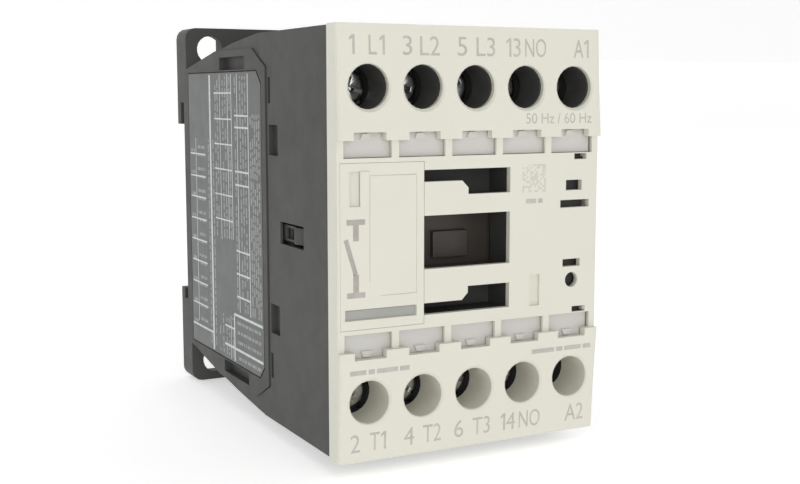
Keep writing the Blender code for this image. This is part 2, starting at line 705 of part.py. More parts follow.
def build_magnet_housing(material):
    """Dark rear housing: magnet cavity, snap arms, rail foot and mounting flanges."""
    rear = -RAIL_FLOOR
    half_flange = FLANGE_HEIGHT / 2
    upper = [
        (SEAM_Y, SEAM_Z[0]),
        (SEAM_Y + SEAM_SHOULDER, SEAM_Z[1]),
        (SEAM_Y + SEAM_SHOULDER, HOUSING_HALF_Z),
        (SEAM_Y + SEAM_SHOULDER + 1.1 * MM, HOUSING_HALF_Z),
        (SEAM_Y + 16.3 * MM, HOUSING_HALF_Z - 1.2 * MM),
        (FLANGE_Y - 19.0 * MM, HOUSING_HALF_Z - 2.0 * MM),
        (FLANGE_Y, HOUSING_HALF_Z - 4.8 * MM),
        (rear, HOUSING_HALF_Z - 4.8 * MM),
    ]
    outline = upper + [(y, -z) for y, z in reversed(upper)]

    def body(bm):
        add_prism(bm, outline, "X", -MAGNET_HALF_X, MAGNET_HALF_X)

    housing = piece("magnet_housing", mesh_from("magnet_housing", body), material)

    def pad(bm):
        top = [
            (SEAM_Y, SEAM_Z[0]),
            (SEAM_Y + SEAM_SHOULDER, SEAM_Z[1]),
            (SEAM_Y + 6.0 * MM, SEAM_Z[1] + 1.6 * MM),
            (FLANGE_Y - 16.5 * MM, SEAM_Z[1] + 1.6 * MM),
            (FLANGE_Y, HOUSING_HALF_Z - 5.1 * MM),
            (rear, HOUSING_HALF_Z - 5.1 * MM),
        ]
        add_prism(bm, top + [(y, -z) for y, z in reversed(top)], "X", -PAD_HALF_X, PAD_HALF_X)

    join(housing, "side_pads", pad)

    def flanges(bm):
        top = flange_outline(RAIL_OPENING_Z[1], half_flange, half_flange)
        low = flange_outline(-half_flange, RAIL_OPENING_Z[0], -half_flange)
        add_prism(bm, top, "Y", FLANGE_Y, BACK_Y)
        add_prism(bm, low, "Y", FLANGE_Y, BACK_Y)

    join(housing, "flanges", flanges)
    join(housing, "seat_pad", boxes((span(0.0, MAGNET_HALF_X - OVER), (rear - OVER, 0.0), SEAT_PAD_Z)))

    def arms(bm):
        nose_front = SEAM_Y - 13.5 * MM
        nose_back = nose_front + 3.0 * MM
        for side in (-1, 1):
            arm = [
                (side * ARM_X[0], SEAM_Y + OVER),
                (side * ARM_X[1], SEAM_Y + OVER),
                (side * ARM_X[1], nose_back),
                (side * (ARM_X[1] + ARM_NOSE), nose_back),
                (side * (ARM_X[1] + ARM_NOSE), nose_back - 0.8 * MM),
                (side * ARM_X[1], nose_front),
                (side * ARM_X[0], nose_front),
            ]
            add_prism(bm, arm, "Z", -ARM_HALF_Z, ARM_HALF_Z)

    join(housing, "snap_arms", arms)
    loops = []
    for x in ((ARM_X[0] - OVER / 2, HALF_WIDTH), (-HALF_WIDTH, OVER / 2 - ARM_X[0])):
        loops.append((x, (SEAM_Y - 10.1 * MM, SEAM_Y - 6.0 * MM), span(0.0, ARM_HALF_Z - 0.45 * MM)))
    cut(housing, "arm_loops", boxes(*loops))

    cavity_x = span(0.0, MAGNET_CAVITY_HALF[0])
    cavity_z = span(0.0, MAGNET_CAVITY_HALF[1])
    cut(housing, "cavity", boxes((cavity_x, (SEAM_Y - OVER, CAVITY_BACK_Y), cavity_z)))

    def label_recess(bm):
        add_prism(bm, label_outline(0.2 * MM), "X", -PAD_HALF_X - OVER, -PAD_HALF_X + LABEL_THICK + STICKER_GAP)

    cut(housing, "label_recess", label_recess)

    side = []
    for x in ((MAGNET_HALF_X - SIDE_SLOT_DEEP, HALF_WIDTH + OVER), (-HALF_WIDTH - OVER, SIDE_SLOT_DEEP - MAGNET_HALF_X)):
        for z in mirror_z(25.75 * MM, 27.9 * MM):
            side.append((x, (SEAM_Y + 9.4 * MM, SEAM_Y + 21.8 * MM), z))
    cut(housing, "side_slots", boxes(*side))

    reach = span(0.0, HALF_WIDTH + OVER)
    grooves = boxes(
        (reach, RAIL_GROOVE, (RAIL_OPENING_Z[1] - OVER, RAIL_OPENING_Z[1] + 4.1 * MM)),
        (reach, RAIL_GROOVE, (RAIL_HOOK_Z, RAIL_OPENING_Z[0] + OVER)),
    )
    cut(housing, "rail_grooves", grooves)
    pocket_top = RAIL_SPRING_Z + RAIL_SPRING_TALL + RAIL_SPRING_STROKE + GAP
    pocket = (span(0.0, RAIL_SPRING_HALF_X + GAP), RAIL_GROOVE, (RAIL_OPENING_Z[1] + OVER, pocket_top))
    cut(housing, "rail_spring_pocket", boxes(pocket))

    coring = []
    for x in (CORING_X, (-CORING_X[1], -CORING_X[0])):
        for z in mirror_z(*CORING_Z):
            coring.append((x, (FLANGE_Y + FLANGE_PLATE, BACK_Y + OVER), z))
    cut(housing, "flange_coring", boxes(*coring))

    def mount_holes(bm):
        for x in (-MOUNT_HOLE_X, MOUNT_HOLE_X):
            for z in (-MOUNT_HOLE_Z, MOUNT_HOLE_Z):
                radius = MOUNT_HOLE_D / 2
                profile = [(radius, FLANGE_Y - OVER), (radius, FLANGE_Y + FLANGE_PLATE + OVER)]
                add_turned(bm, profile, x, z, 20)

    cut(housing, "mount_holes", mount_holes)
    return housing


def build_label(material):
    """Printed sticker in the recess of the left side."""

    def film(bm):
        add_prism(bm, label_outline(0.0), "X", -PAD_HALF_X, -PAD_HALF_X + LABEL_THICK)

    return piece("rating_label", mesh_from("rating_label", film), material)


def build_carrier(material):
    """Contact carrier with a window for each bridge, a head, a stem and the armature holder."""
    left = pole_x(0) - CARRIER_SLOT - CARRIER_WALL
    right = pole_x(CONTACT_POLES - 1) + CARRIER_SLOT + CARRIER_WALL
    block = boxes(((left, right), (CARRIER_Y, CARRIER_BACK_Y), span(0.0, CARRIER_HALF_Z)))
    carrier = piece("contact_carrier", mesh_from("contact_carrier", block), material)
    head = (CARRIER_HEAD[0], (CARRIER_Y - CARRIER_HEAD_RISE, CARRIER_Y + OVER / 2), CARRIER_HEAD[1])
    join(carrier, "head", boxes(head))
    windows = []
    for i in range(CONTACT_POLES):
        y = (CARRIER_Y + CARRIER_FRONT, CARRIER_LEDGE_Y)
        windows.append((span(pole_x(i), CARRIER_SLOT), y, span(0.0, CARRIER_HALF_Z + OVER)))
    cut(carrier, "windows", boxes(*windows))
    stem_y = (CARRIER_BACK_Y - OVER / 2, HOLDER_Y + OVER / 2)
    join(carrier, "stem", boxes((span(0.0, STEM_HALF_X), stem_y, span(0.0, CARRIER_HALF_Z))))
    holder_y = (HOLDER_Y, HOLDER_Y + HOLDER_THICK)
    join(carrier, "holder", boxes((span(0.0, HOLDER_HALF_X), holder_y, span(0.0, HOLDER_HALF_Z))))
    cheek_y = (HOLDER_Y + OVER / 2, ARMATURE_Y + CHEEK_LENGTH)
    cheeks = []
    for z in mirror_z(STACK_HALF_Z + GAP, STACK_HALF_Z + GAP + CHEEK_THICK):
        cheeks.append((span(0.0, CHEEK_HALF_X), cheek_y, z))
    join(carrier, "cheeks", boxes(*cheeks))

    def key_hole(bm):
        key_prism(bm, KEY_D / 2 + GAP, STACK_HALF_Z + CHEEK_THICK + OVER)

    cut(carrier, "key_hole", key_hole)
    return carrier


def key_prism(bm, radius, half):
    """A round bar along Z through the armature's yoke."""
    y = ARMATURE_Y + KEY_Y_IN_YOKE
    outline = []
    for k in range(12):
        angle = 2 * math.pi * (k + 0.5) / 12
        outline.append((radius * math.cos(angle), y + radius * math.sin(angle)))
    add_prism(bm, outline, "Z", -half, half)


def build_bridges(parent, metal, spring_steel):
    """Moving contact bridges and the springs that press them on."""

    def bridge(bm):
        half = BRIDGE_WIDTH / 2
        low = (BRIDGE_THICK, BRIDGE_THICK + TIP_THICK)
        end = BRIDGE_LENGTH / 2
        z0, z1 = span(TIP_CENTRE_Z, TIP_LENGTH / 2)
        top = [(0.0, end), (BRIDGE_THICK, end), (low[0], z1), (low[1], z1), (low[1], z0), (low[0], z0)]
        outline = top + [(y, -z) for y, z in reversed(top)]
        add_prism(bm, outline, "X", -half, half)

    def spring(bm):
        turns = 3.5
        add_spring(bm, 0.0, CONTACT_SPRING_LENGTH, CONTACT_SPRING_R, CONTACT_SPRING_WIRE, turns)

    bridge_mesh = mesh_from("contact_bridge", bridge)
    spring_mesh = mesh_from("contact_spring", spring)
    smooth(spring_mesh)
    for i in range(CONTACT_POLES):
        x = pole_x(i)
        piece(f"contact_bridge_{i + 1}", bridge_mesh, metal, (x, BRIDGE_Y, 0), 0.0, parent)
        spring_y = CARRIER_Y + CARRIER_FRONT + GAP
        piece(f"contact_spring_{i + 1}", spring_mesh, spring_steel, (x, spring_y, 0), 0.0, parent)


def terminal_bar(bm, lead):
    """Terminal plate with a riser, then either a contact strip or a coil lead."""
    end = ROW_Z + BAR_HALF_X + GAP
    start = end - BAR_LENGTH
    neck = start - 1.4 * MM
    if lead:
        outline = [
            (BAR_Y, end),
            (BAR_Y, neck),
            (lead, neck),
            (lead, neck + 1.0 * MM),
            (BAR_Y + BAR_THICK, neck + 1.0 * MM),
            (BAR_Y + BAR_THICK, end),
        ]
        add_prism(bm, outline, "X", -1.3 * MM, 1.3 * MM)
        return
    tip = span(TIP_CENTRE_Z, TIP_LENGTH / 2)
    outline = [
        (BAR_Y, end),
        (BAR_Y, neck),
        (LOW_BAR_Y, neck),
        (LOW_BAR_Y, tip[1]),
        (TIP_Y, tip[1]),
        (TIP_Y, tip[0]),
        (LOW_BAR_Y, tip[0]),
        (LOW_BAR_Y, tip[0] - 0.4 * MM),
        (LOW_BAR_Y + BAR_THICK, tip[0] - 0.4 * MM),
        (LOW_BAR_Y + BAR_THICK, neck + 1.2 * MM),
        (BAR_Y + BAR_THICK, neck + 1.2 * MM),
        (BAR_Y + BAR_THICK, end),
    ]
    add_prism(bm, outline, "X", -STRIP_WIDTH / 2, STRIP_WIDTH / 2)


def build_terminal(name, lead, x, sign, material):
    """One terminal bar; the lower row's is the upper one turned half round."""

    def strip(bm):
        terminal_bar(bm, lead)

    def plate(bm):
        end = ROW_Z + BAR_HALF_X + GAP
        z = (end - BAR_LENGTH, end + 0.01 * MM)
        add_box(bm, (-BAR_HALF_X, BAR_HALF_X), (BAR_Y - 0.01 * MM, BAR_Y + BAR_THICK + 0.01 * MM), z)

    def hole(bm):
        radius = (SHANK_D + SHANK_PLAY) / 2
        profile = [(radius, BAR_Y - OVER), (radius, BAR_Y + BAR_THICK + OVER)]
        add_turned(bm, profile, 0.0, ROW_Z, 16)

    turn = 0.0 if sign > 0 else math.pi
    bar = piece(name, mesh_from(name, strip), material, (x, 0, 0), turn)
    for operation, label, build in (("UNION", "plate", plate), ("DIFFERENCE", "hole", hole)):
        boolean(bar, operation, label, build)
        helper_object = bar.modifiers[label].object
        helper_object.location = bar.location
        helper_object.rotation_euler = bar.rotation_euler
    return bar


def build_screws(steel, plate_steel):
    """Captive terminal screws and their square clamp plates."""

    def screw(bm):
        neck = HEAD_THICK
        profile = [
            (HEAD_R - 0.3 * MM, 0.0),
            (HEAD_R, 0.3 * MM),
            (HEAD_R, neck),
            (SHANK_D / 2, neck),
            (SHANK_D / 2, neck + SHANK_LENGTH - 0.5 * MM),
            (SHANK_D / 2 - 0.5 * MM, neck + SHANK_LENGTH),
        ]
        add_turned(bm, profile, 0.0, 0.0, 16)

    def drive(bm):
        arm = 2.0 * MM
        half = 0.5 * MM
        outline = [(half, half), (half, arm), (-half, arm), (-half, half), (-arm, half), (-arm, -half)]
        outline += [(-half, -half), (-half, -arm), (half, -arm), (half, -half), (arm, -half), (arm, half)]
        add_prism(bm, outline, "Y", -OVER, 1.2 * MM)

    def plate(bm):
        half = BAR_HALF_X
        corner = 0.8 * MM
        outline = []
        for sx, sz in ((1, 1), (-1, 1), (-1, -1), (1, -1)):
            pair = [(sx * half, sz * (half - corner)), (sx * (half - corner), sz * half)]
            outline += pair if sx * sz > 0 else pair[::-1]
        add_prism(bm, outline, "Y", 0.0, CLAMP_THICK)

    def plate_hole(bm):
        radius = (SHANK_D + SHANK_PLAY) / 2
        add_turned(bm, [(radius, -OVER), (radius, CLAMP_THICK + OVER)], 0.0, 0.0, 16)

    screw_mesh = baked("terminal_screw", screw, drive, steel)
    plate_mesh = baked("clamp_plate", plate, plate_hole, plate_steel)
    smooth(screw_mesh)
    for row, z in (("top", ROW_Z), ("bottom", -ROW_Z)):
        for i in range(POLES):
            clamp = piece(f"clamp_plate_{row}_{i + 1}", plate_mesh, plate_steel, (pole_x(i), CLAMP_Y, z))
            axis = (0, HEAD_Y - CLAMP_Y, 0)
            piece(f"terminal_screw_{row}_{i + 1}", screw_mesh, steel, axis, 0.0, clamp)


def baked(name, build, cutter, material):
    """A mesh with one Boolean already applied, so that its copies can share it."""
    source = bpy.data.objects.new(name, mesh_from(name, build))
    bpy.context.scene.collection.objects.link(source)
    cut(source, "cut", cutter)
    graph = bpy.context.evaluated_depsgraph_get()
    mesh = bpy.data.meshes.new_from_object(source.evaluated_get(graph))
    mesh.name = name
    mesh.materials.clear()
    mesh.materials.append(material)
    tool = source.modifiers["cut"].object
    bpy.data.objects.remove(source, do_unlink=True)
    bpy.data.objects.remove(tool, do_unlink=True)
    return mesh


def e_outline(yoke_back, yoke_front, leg_end):
    """Outline of an E-shaped lamination in X and Y."""
    inner, outer = LEG_OUTER
    centre = LEG_CENTRE_HALF
    half = [(outer, yoke_back), (outer, leg_end), (inner, leg_end), (inner, yoke_front)]
    half += [(centre, yoke_front), (centre, leg_end)]
    return half + [(-x, y) for x, y in reversed(half)]


def build_magnet(iron, copper, bobbin_plastic, winding_material, rubber, parent):
    """Fixed core, armature, shading rings, bobbin, winding and rubber cushion."""

    def core_body(bm):
        add_prism(bm, e_outline(CORE_BACK_Y, CORE_YOKE_Y, POLE_FACE_Y), "Z", -STACK_HALF_Z, STACK_HALF_Z)

    core = piece("fixed_core", mesh_from("fixed_core", core_body), iron)
    slots = []
    deep = POLE_FACE_Y + RING_SINK + RING_HEIGHT + GAP
    for side in (-1, 1):
        x = sorted((side * (RING_INNER_X - GAP), side * (RING_INNER_X + RING_WIRE + GAP)))
        slots.append((tuple(x), (POLE_FACE_Y - OVER, deep), span(0.0, STACK_HALF_Z + OVER)))
    cut(core, "ring_slots", boxes(*slots))

    def armature_body(bm):
        outline = e_outline(ARMATURE_Y, ARMATURE_BACK_Y, ARMATURE_FACE_Y)
        add_prism(bm, outline, "Z", -STACK_HALF_Z, STACK_HALF_Z)

    armature = piece("armature", mesh_from("armature", armature_body), iron, parent=parent)

    def key_hole(bm):
        key_prism(bm, KEY_D / 2 + GAP, STACK_HALF_Z + OVER)

    cut(armature, "key_hole", key_hole)

    def key(bm):
        key_prism(bm, KEY_D / 2, STACK_HALF_Z + CHEEK_THICK)

    piece("armature_key", mesh_from("armature_key", key), iron, parent=parent)

    for name, side in (("left", -1), ("right", 1)):
        outer = LEG_OUTER[1] + GAP + RING_WIRE
        y = (POLE_FACE_Y + RING_SINK, POLE_FACE_Y + RING_SINK + RING_HEIGHT)
        frame_x = tuple(sorted((side * RING_INNER_X, side * outer)))
        hole_x = tuple(sorted((side * (RING_INNER_X + RING_WIRE), side * (outer - RING_WIRE))))
        hole_z = span(0.0, STACK_HALF_Z + GAP)
        frame = boxes((frame_x, y, span(0.0, STACK_HALF_Z + GAP + RING_WIRE)))
        ring = piece(f"shading_ring_{name}", mesh_from(f"shading_ring_{name}", frame), copper)
        cut(ring, "hole", boxes((hole_x, (y[0] - OVER, y[1] + OVER), hole_z)))

    tube_x = span(0.0, TUBE_HALF_X)
    tube_z = span(0.0, TUBE_HALF_Z)
    flange_x = span(0.0, BOBBIN_HALF_X)
    flange_z = span(0.0, BOBBIN_HALF_Z)
    tube = boxes((tube_x, (BOBBIN_Y, BOBBIN_BACK_Y), tube_z))
    bobbin = piece("coil_bobbin", mesh_from("coil_bobbin", tube), bobbin_plastic)
    front = (BOBBIN_Y, BOBBIN_Y + BOBBIN_FLANGE)
    back = (BOBBIN_BACK_Y - BOBBIN_FLANGE, BOBBIN_BACK_Y)
    join(bobbin, "flanges", boxes((flange_x, front, flange_z), (flange_x, back, flange_z)))
    ears = []
    lead_z = ROW_Z + BAR_HALF_X + GAP - BAR_LENGTH - 1.4 * MM
    for z in mirror_z(9.0 * MM, lead_z - GAP):
        ears.append(((BOBBIN_HALF_X - OVER, 19.2 * MM), front, z))
    join(bobbin, "ears", boxes(*ears))
    bore_x = span(0.0, TUBE_HALF_X - BOBBIN_WALL)
    bore_z = span(0.0, TUBE_HALF_Z - BOBBIN_WALL)
    cut(bobbin, "bore", boxes((bore_x, (BOBBIN_Y - OVER, BOBBIN_BACK_Y + OVER), bore_z)))

    def turns(bm):
        x0, z0 = TUBE_HALF_X + GAP, TUBE_HALF_Z + GAP
        x1, z1 = BOBBIN_HALF_X - 0.4 * MM, BOBBIN_HALF_Z - 0.8 * MM
        y = (front[1] + GAP, back[0] - GAP)
        rounding = 2.0 * MM
        outer = []
        for cx, cz, start in ((1, 1, 0), (-1, 1, 90), (-1, -1, 180), (1, -1, 270)):
            for k in range(4):
                angle = math.radians(start + 30 * k)
                px = cx * (x1 - rounding) + rounding * math.cos(angle)
                pz = cz * (z1 - rounding) + rounding * math.sin(angle)
                outer.append((px, pz))
        inner = []
        for cx, cz in ((1, 1), (-1, 1), (-1, -1), (1, -1)):
            inner += [(cx * x0, cz * z0)] * 4
        rings = []
        for along, outline in ((y[0], outer), (y[1], outer)):
            rings.append([bm.verts.new((px, along, pz)) for px, pz in outline])
        corners = []
        for along in y:
            corners.append([bm.verts.new((inner[4 * k][0], along, inner[4 * k][1])) for k in range(4)])
        count = len(outer)
        for k in range(count):
            n = (k + 1) % count
            bm.faces.new((rings[0][k], rings[0][n], rings[1][n], rings[1][k]))
        for k in range(4):
            n = (k + 1) % 4
            bm.faces.new((corners[0][k], corners[0][n], corners[1][n], corners[1][k]))
        for end in (0, 1):
            for k in range(count):
                n = (k + 1) % count
                a, b = k // 4, n // 4
                if a == b:
                    bm.faces.new((rings[end][k], rings[end][n], corners[end][a]))
                else:
                    bm.faces.new((rings[end][k], rings[end][n], corners[end][b], corners[end][a]))

    piece("coil_winding", mesh_from("coil_winding", turns), winding_material)
    pad = boxes((span(0.0, LEG_OUTER[1]), (CUSHION_Y, CUSHION_Y + CUSHION_THICK), span(0.0, STACK_HALF_Z)))
    piece("core_cushion", mesh_from("core_cushion", pad), rubber)


def build_return_springs(material):
    """Two coil springs that push the carrier forward."""
    y0 = HOLDER_Y + HOLDER_THICK + GAP
    length = BOBBIN_Y - GAP - y0

    def spring(bm):
        add_spring(bm, 0.0, length, RETURN_SPRING_R, RETURN_SPRING_WIRE, 5.0)

    mesh = mesh_from("return_spring", spring)
    smooth(mesh)
    for name, z in (("top", RETURN_SPRING_Z), ("bottom", -RETURN_SPRING_Z)):
        piece(f"return_spring_{name}", mesh, material, (0, y0, z))


def build_rail_spring(material):
    """Flat steel spring that presses on the upper edge of the rail."""
    y = (RAIL_GROOVE[0] + GAP, RAIL_GROOVE[1] - GAP)
    z0 = RAIL_SPRING_Z
    z1 = RAIL_SPRING_Z + RAIL_SPRING_TALL
    half = RAIL_SPRING_HALF_X
    thick = 0.9 * MM
    arms = [(half, z1), (half - thick, z1), (half - 3.0 * MM, z0 + thick), (2.2 * MM, z0 + thick)]
    arms += [(1.2 * MM, z0 + thick + 0.9 * MM)]
    outline = [(-half, z1), (-half + 3.0 * MM - thick, z0), (half - 3.0 * MM + thick, z0)]
    outline += arms + [(-x, z) for x, z in reversed(arms[1:])]

    def leaf(bm):
        add_prism(bm, outline, "Y", *y)

    piece("rail_spring", mesh_from("rail_spring", leaf), material)


def main():
    for obj in list(bpy.data.objects):
        bpy.data.objects.remove(obj, do_unlink=True)

    cream = plastic("cover_cream", (0.73, 0.72, 0.62), 0.5)
    dark = plastic("housing_dark_grey", (0.085, 0.085, 0.08), 0.55)
    pale = plastic("marker_pale_grey", (0.60, 0.58, 0.58), 0.5)
    black = plastic("carrier_black", (0.035, 0.03, 0.028), 0.45)
    sticker = plastic("label_film", (0.16, 0.17, 0.17), 0.4)
    zinc = plastic("zinc_plated_steel", (0.62, 0.62, 0.60), 0.3, 1.0)
    plate = plastic("clamp_plate_steel", (0.58, 0.58, 0.56), 0.35, 1.0)
    silver = plastic("silvered_copper", (0.80, 0.72, 0.62), 0.3, 1.0)
    copper = plastic("copper", (0.72, 0.40, 0.26), 0.35, 1.0)
    iron = plastic("laminated_iron", (0.40, 0.40, 0.42), 0.4, 1.0)
    bobbin = plastic("bobbin_nylon", (0.55, 0.10, 0.05), 0.45)
    wire = plastic("winding_tape", (0.60, 0.42, 0.10), 0.4)
    rubber = plastic("cushion_rubber", (0.03, 0.03, 0.03), 0.8)
    spring = plastic("spring_steel", (0.50, 0.50, 0.50), 0.3, 1.0)

    build_cover(cream)
    build_marker_strip("marker_strip_top", 1, pale)
    build_marker_strip("marker_strip_bottom", -1, pale)
    build_panel(cream)
    build_contact_housing(dark)
    build_magnet_housing(dark)
    build_label(sticker)

    moving = bpy.data.objects.new("carrier_slide", None)
    bpy.context.scene.collection.objects.link(moving)
    carrier = build_carrier(black)
    carrier.parent = moving
    build_bridges(moving, silver, spring)
    build_magnet(iron, copper, bobbin, wire, rubber, moving)
    build_return_springs(spring)

    lead_end = BOBBIN_Y + BOBBIN_FLANGE
    rows = (("top", 1), ("bottom", -1))
    for row, sign in rows:
        for i in range(CONTACT_POLES):
            build_terminal(f"fixed_contact_{row}_{i + 1}", None, pole_x(i), sign, silver)
    for name, sign in (("A1", 1), ("A2", -1)):
        build_terminal(f"coil_terminal_{name}", lead_end, pole_x(POLES - 1), sign, silver)
    build_screws(zinc, plate)
    build_rail_spring(spring)


main()
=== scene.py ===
import math
import random

import bmesh
import bpy
from mathutils import Matrix, Vector
from mathutils.bvhtree import BVHTree


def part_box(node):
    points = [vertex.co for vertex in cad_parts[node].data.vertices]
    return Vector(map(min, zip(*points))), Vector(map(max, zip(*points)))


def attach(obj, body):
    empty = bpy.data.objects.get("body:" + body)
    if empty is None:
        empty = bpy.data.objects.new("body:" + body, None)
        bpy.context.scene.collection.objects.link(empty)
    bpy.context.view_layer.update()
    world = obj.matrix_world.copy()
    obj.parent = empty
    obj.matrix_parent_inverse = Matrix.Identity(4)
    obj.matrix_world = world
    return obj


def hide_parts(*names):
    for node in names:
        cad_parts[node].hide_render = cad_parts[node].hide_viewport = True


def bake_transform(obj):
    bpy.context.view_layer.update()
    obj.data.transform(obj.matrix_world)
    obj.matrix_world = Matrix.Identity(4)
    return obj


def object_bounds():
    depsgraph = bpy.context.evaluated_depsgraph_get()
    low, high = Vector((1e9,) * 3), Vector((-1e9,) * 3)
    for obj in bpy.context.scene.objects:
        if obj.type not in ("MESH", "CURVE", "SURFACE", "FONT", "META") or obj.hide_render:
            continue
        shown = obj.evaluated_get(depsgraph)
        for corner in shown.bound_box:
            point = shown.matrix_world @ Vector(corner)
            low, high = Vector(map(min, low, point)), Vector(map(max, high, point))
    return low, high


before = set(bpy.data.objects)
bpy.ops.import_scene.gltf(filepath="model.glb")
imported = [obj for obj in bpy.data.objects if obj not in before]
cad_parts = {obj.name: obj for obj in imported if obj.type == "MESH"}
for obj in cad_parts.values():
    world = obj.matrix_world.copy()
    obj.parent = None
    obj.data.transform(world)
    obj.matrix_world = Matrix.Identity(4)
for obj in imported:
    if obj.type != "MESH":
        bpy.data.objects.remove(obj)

MM = 0.001
MERGE_DISTANCE = 0.002 * MM
FLAT_WITHIN_DEGREES = 0.6
SMOOTH_WITHIN_DEGREES = 46
POLE_PITCH = 8.8e-3
cad_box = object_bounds()

# Magnet housing: the rear half of the contactor, which holds the coil and carries the rail foot.
# It is glass-filled polyamide, moulded in one shot with its two snap arms, and comes out of a
# spark-eroded tool with a fine satin grain and very slightly eased edges.


def shade(tree, kind, inputs=None, **settings):
    """Adds one shader node and fills its sockets with values or with other sockets."""
    made = tree.nodes.new("ShaderNode" + kind)
    for key, value in settings.items():
        setattr(made, key, value)
    for key, value in (inputs or {}).items():
        socket = made.inputs[key]
        if isinstance(value, bpy.types.NodeSocket):
            tree.links.new(value, socket)
        else:
            socket.default_value = value
    return made


def new_finish(name, colour, roughness, metallic=0.0):
    """A material with its tree, its shader and the piece's own coordinates."""
    material = bpy.data.materials.new(name)
    material.use_nodes = True
    tree = material.node_tree
    shader = tree.nodes["Principled BSDF"]
    shader.inputs["Base Color"].default_value = (*colour, 1.0)
    shader.inputs["Roughness"].default_value = roughness
    shader.inputs["Metallic"].default_value = metallic
    place = shade(tree, "TexCoord").outputs["Object"]
    return material, tree, shader, place


def blend_colours(tree, factor, low, high):
    """A colour between two others, by a factor socket."""
    mix = shade(tree, "Mix", data_type="RGBA")
    for key, value in ((0, factor), (6, low), (7, high)):
        if isinstance(value, bpy.types.NodeSocket):
            tree.links.new(value, mix.inputs[key])
        else:
            mix.inputs[key].default_value = (*value, 1.0)
    return mix.outputs[2]


def spread(tree, value, low, high, to_low, to_high):
    """Stretches a socket's range onto another one."""
    ranged = shade(tree, "MapRange", {0: value, 1: low, 2: high, 3: to_low, 4: to_high})
    return ranged.outputs[0]


def moulded(name, colour, roughness, grain=0.22, relief=0.012, mottle=0.05, gloss=0.4):
    """Moulded plastic: eroded grain, faint flow mottling and slightly rubbed patches."""
    material, tree, shader, place = new_finish(name, colour, roughness)
    fine = shade(tree, "TexNoise", {"Vector": place, "Scale": 1.0 / (grain * MM), "Detail": 3.0})
    flow = shade(
        tree, "TexNoise", {"Vector": place, "Scale": 55.0, "Detail": 4.0, "Distortion": 0.6}
    )
    rubbed = shade(
        tree, "TexNoise", {"Vector": place, "Scale": 260.0, "Detail": 5.0, "Roughness": 0.65}
    )
    dark = tuple(c * (1.0 - mottle) for c in colour)
    light = tuple(min(1.0, c * (1.0 + mottle)) for c in colour)
    body = blend_colours(tree, spread(tree, flow.outputs[0], 0.35, 0.65, 0.0, 1.0), dark, light)
    speck = spread(tree, fine.outputs[0], 0.3, 0.7, 0.0, 1.0)
    speck_dark = tuple(c * 0.975 for c in colour)
    speck_light = tuple(min(1.0, c * 1.02) for c in colour)
    grained = blend_colours(tree, speck, speck_dark, speck_light)
    both = shade(tree, "Mix", data_type="RGBA")
    both.inputs[0].default_value = 0.5
    tree.links.new(body, both.inputs[6])
    tree.links.new(grained, both.inputs[7])
    tree.links.new(both.outputs[2], shader.inputs["Base Color"])
    worn = spread(tree, rubbed.outputs[0], 0.3, 0.7, roughness - 0.07, roughness + 0.07)
    tree.links.new(worn, shader.inputs["Roughness"])
    bump = shade(
        tree, "Bump", {"Height": fine.outputs[0], "Strength": 0.5, "Distance": relief * MM}
    )
    tree.links.new(bump.outputs[0], shader.inputs["Normal"])
    shader.inputs["Specular IOR Level"].default_value = gloss
    return material


def flat_copy(node):
    """A copy of a CAD piece with its points merged and its flat faces whole again."""
    bm = bmesh.new()
    bm.from_mesh(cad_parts[node].data)
    bmesh.ops.remove_doubles(bm, verts=bm.verts, dist=MERGE_DISTANCE)
    flat = math.radians(FLAT_WITHIN_DEGREES)
    bmesh.ops.dissolve_limit(bm, angle_limit=flat, verts=bm.verts, edges=bm.edges)
    return bm


def ease_edges(bm, edges, width, segments=2, clamp=False):
    """Rounds some edges by a width in millimetres."""
    bmesh.ops.bevel(
        bm,
        geom=edges,
        offset=width * MM,
        segments=segments,
        profile=0.5,
        affect="EDGES",
        clamp_overlap=clamp,
        material=-1,
    )


def corners(bm, degrees):
    """The edges where two faces meet at more than an angle."""
    limit = math.radians(degrees)
    return [e for e in bm.edges if e.is_manifold and e.calc_face_angle(0.0) > limit]


def eased(node, width, segments=2):
    """A copy of a CAD piece with its sharp edges eased."""
    bm = flat_copy(node)
    ease_edges(bm, corners(bm, 28.0), width, segments, clamp=True)
    return bm


def made_piece(name, bm, finish, body, slot, *stands_for):
    """Turns a bmesh into a finished piece that rides on its body, if it has just one."""
    mesh = bpy.data.meshes.new(name)
    bm.to_mesh(mesh)
    bm.free()
    mesh.materials.append(finish)
    piece = bpy.data.objects.new(name, mesh)
    bpy.context.scene.collection.objects.link(piece)
    mesh.shade_smooth()
    mesh.set_sharp_from_angle(angle=math.radians(SMOOTH_WITHIN_DEGREES))
    weigh = piece.modifiers.new("even_shading", "WEIGHTED_NORMAL")
    weigh.keep_sharp = True
    if body:
        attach(piece, body)
    if stands_for:
        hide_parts(*stands_for)
    return piece


housing_grey = moulded(
    "housing_grey", (0.072, 0.072, 0.069), 0.5, grain=0.3, relief=0.02, mottle=0.1, gloss=0.16
)
bm = eased("magnet_housing", 0.16)
made_piece("rear_moulding", bm, housing_grey, "housing", "housing_dark_grey", "magnet_housing")

# Rail spring: hard-rolled strip, folded in a press tool and slid into the upper flange's pocket.
# It keeps the blue-grey skin and faint rolling lines of its strip.

SPRING_STEEL_COLOUR = (0.42, 0.43, 0.45)


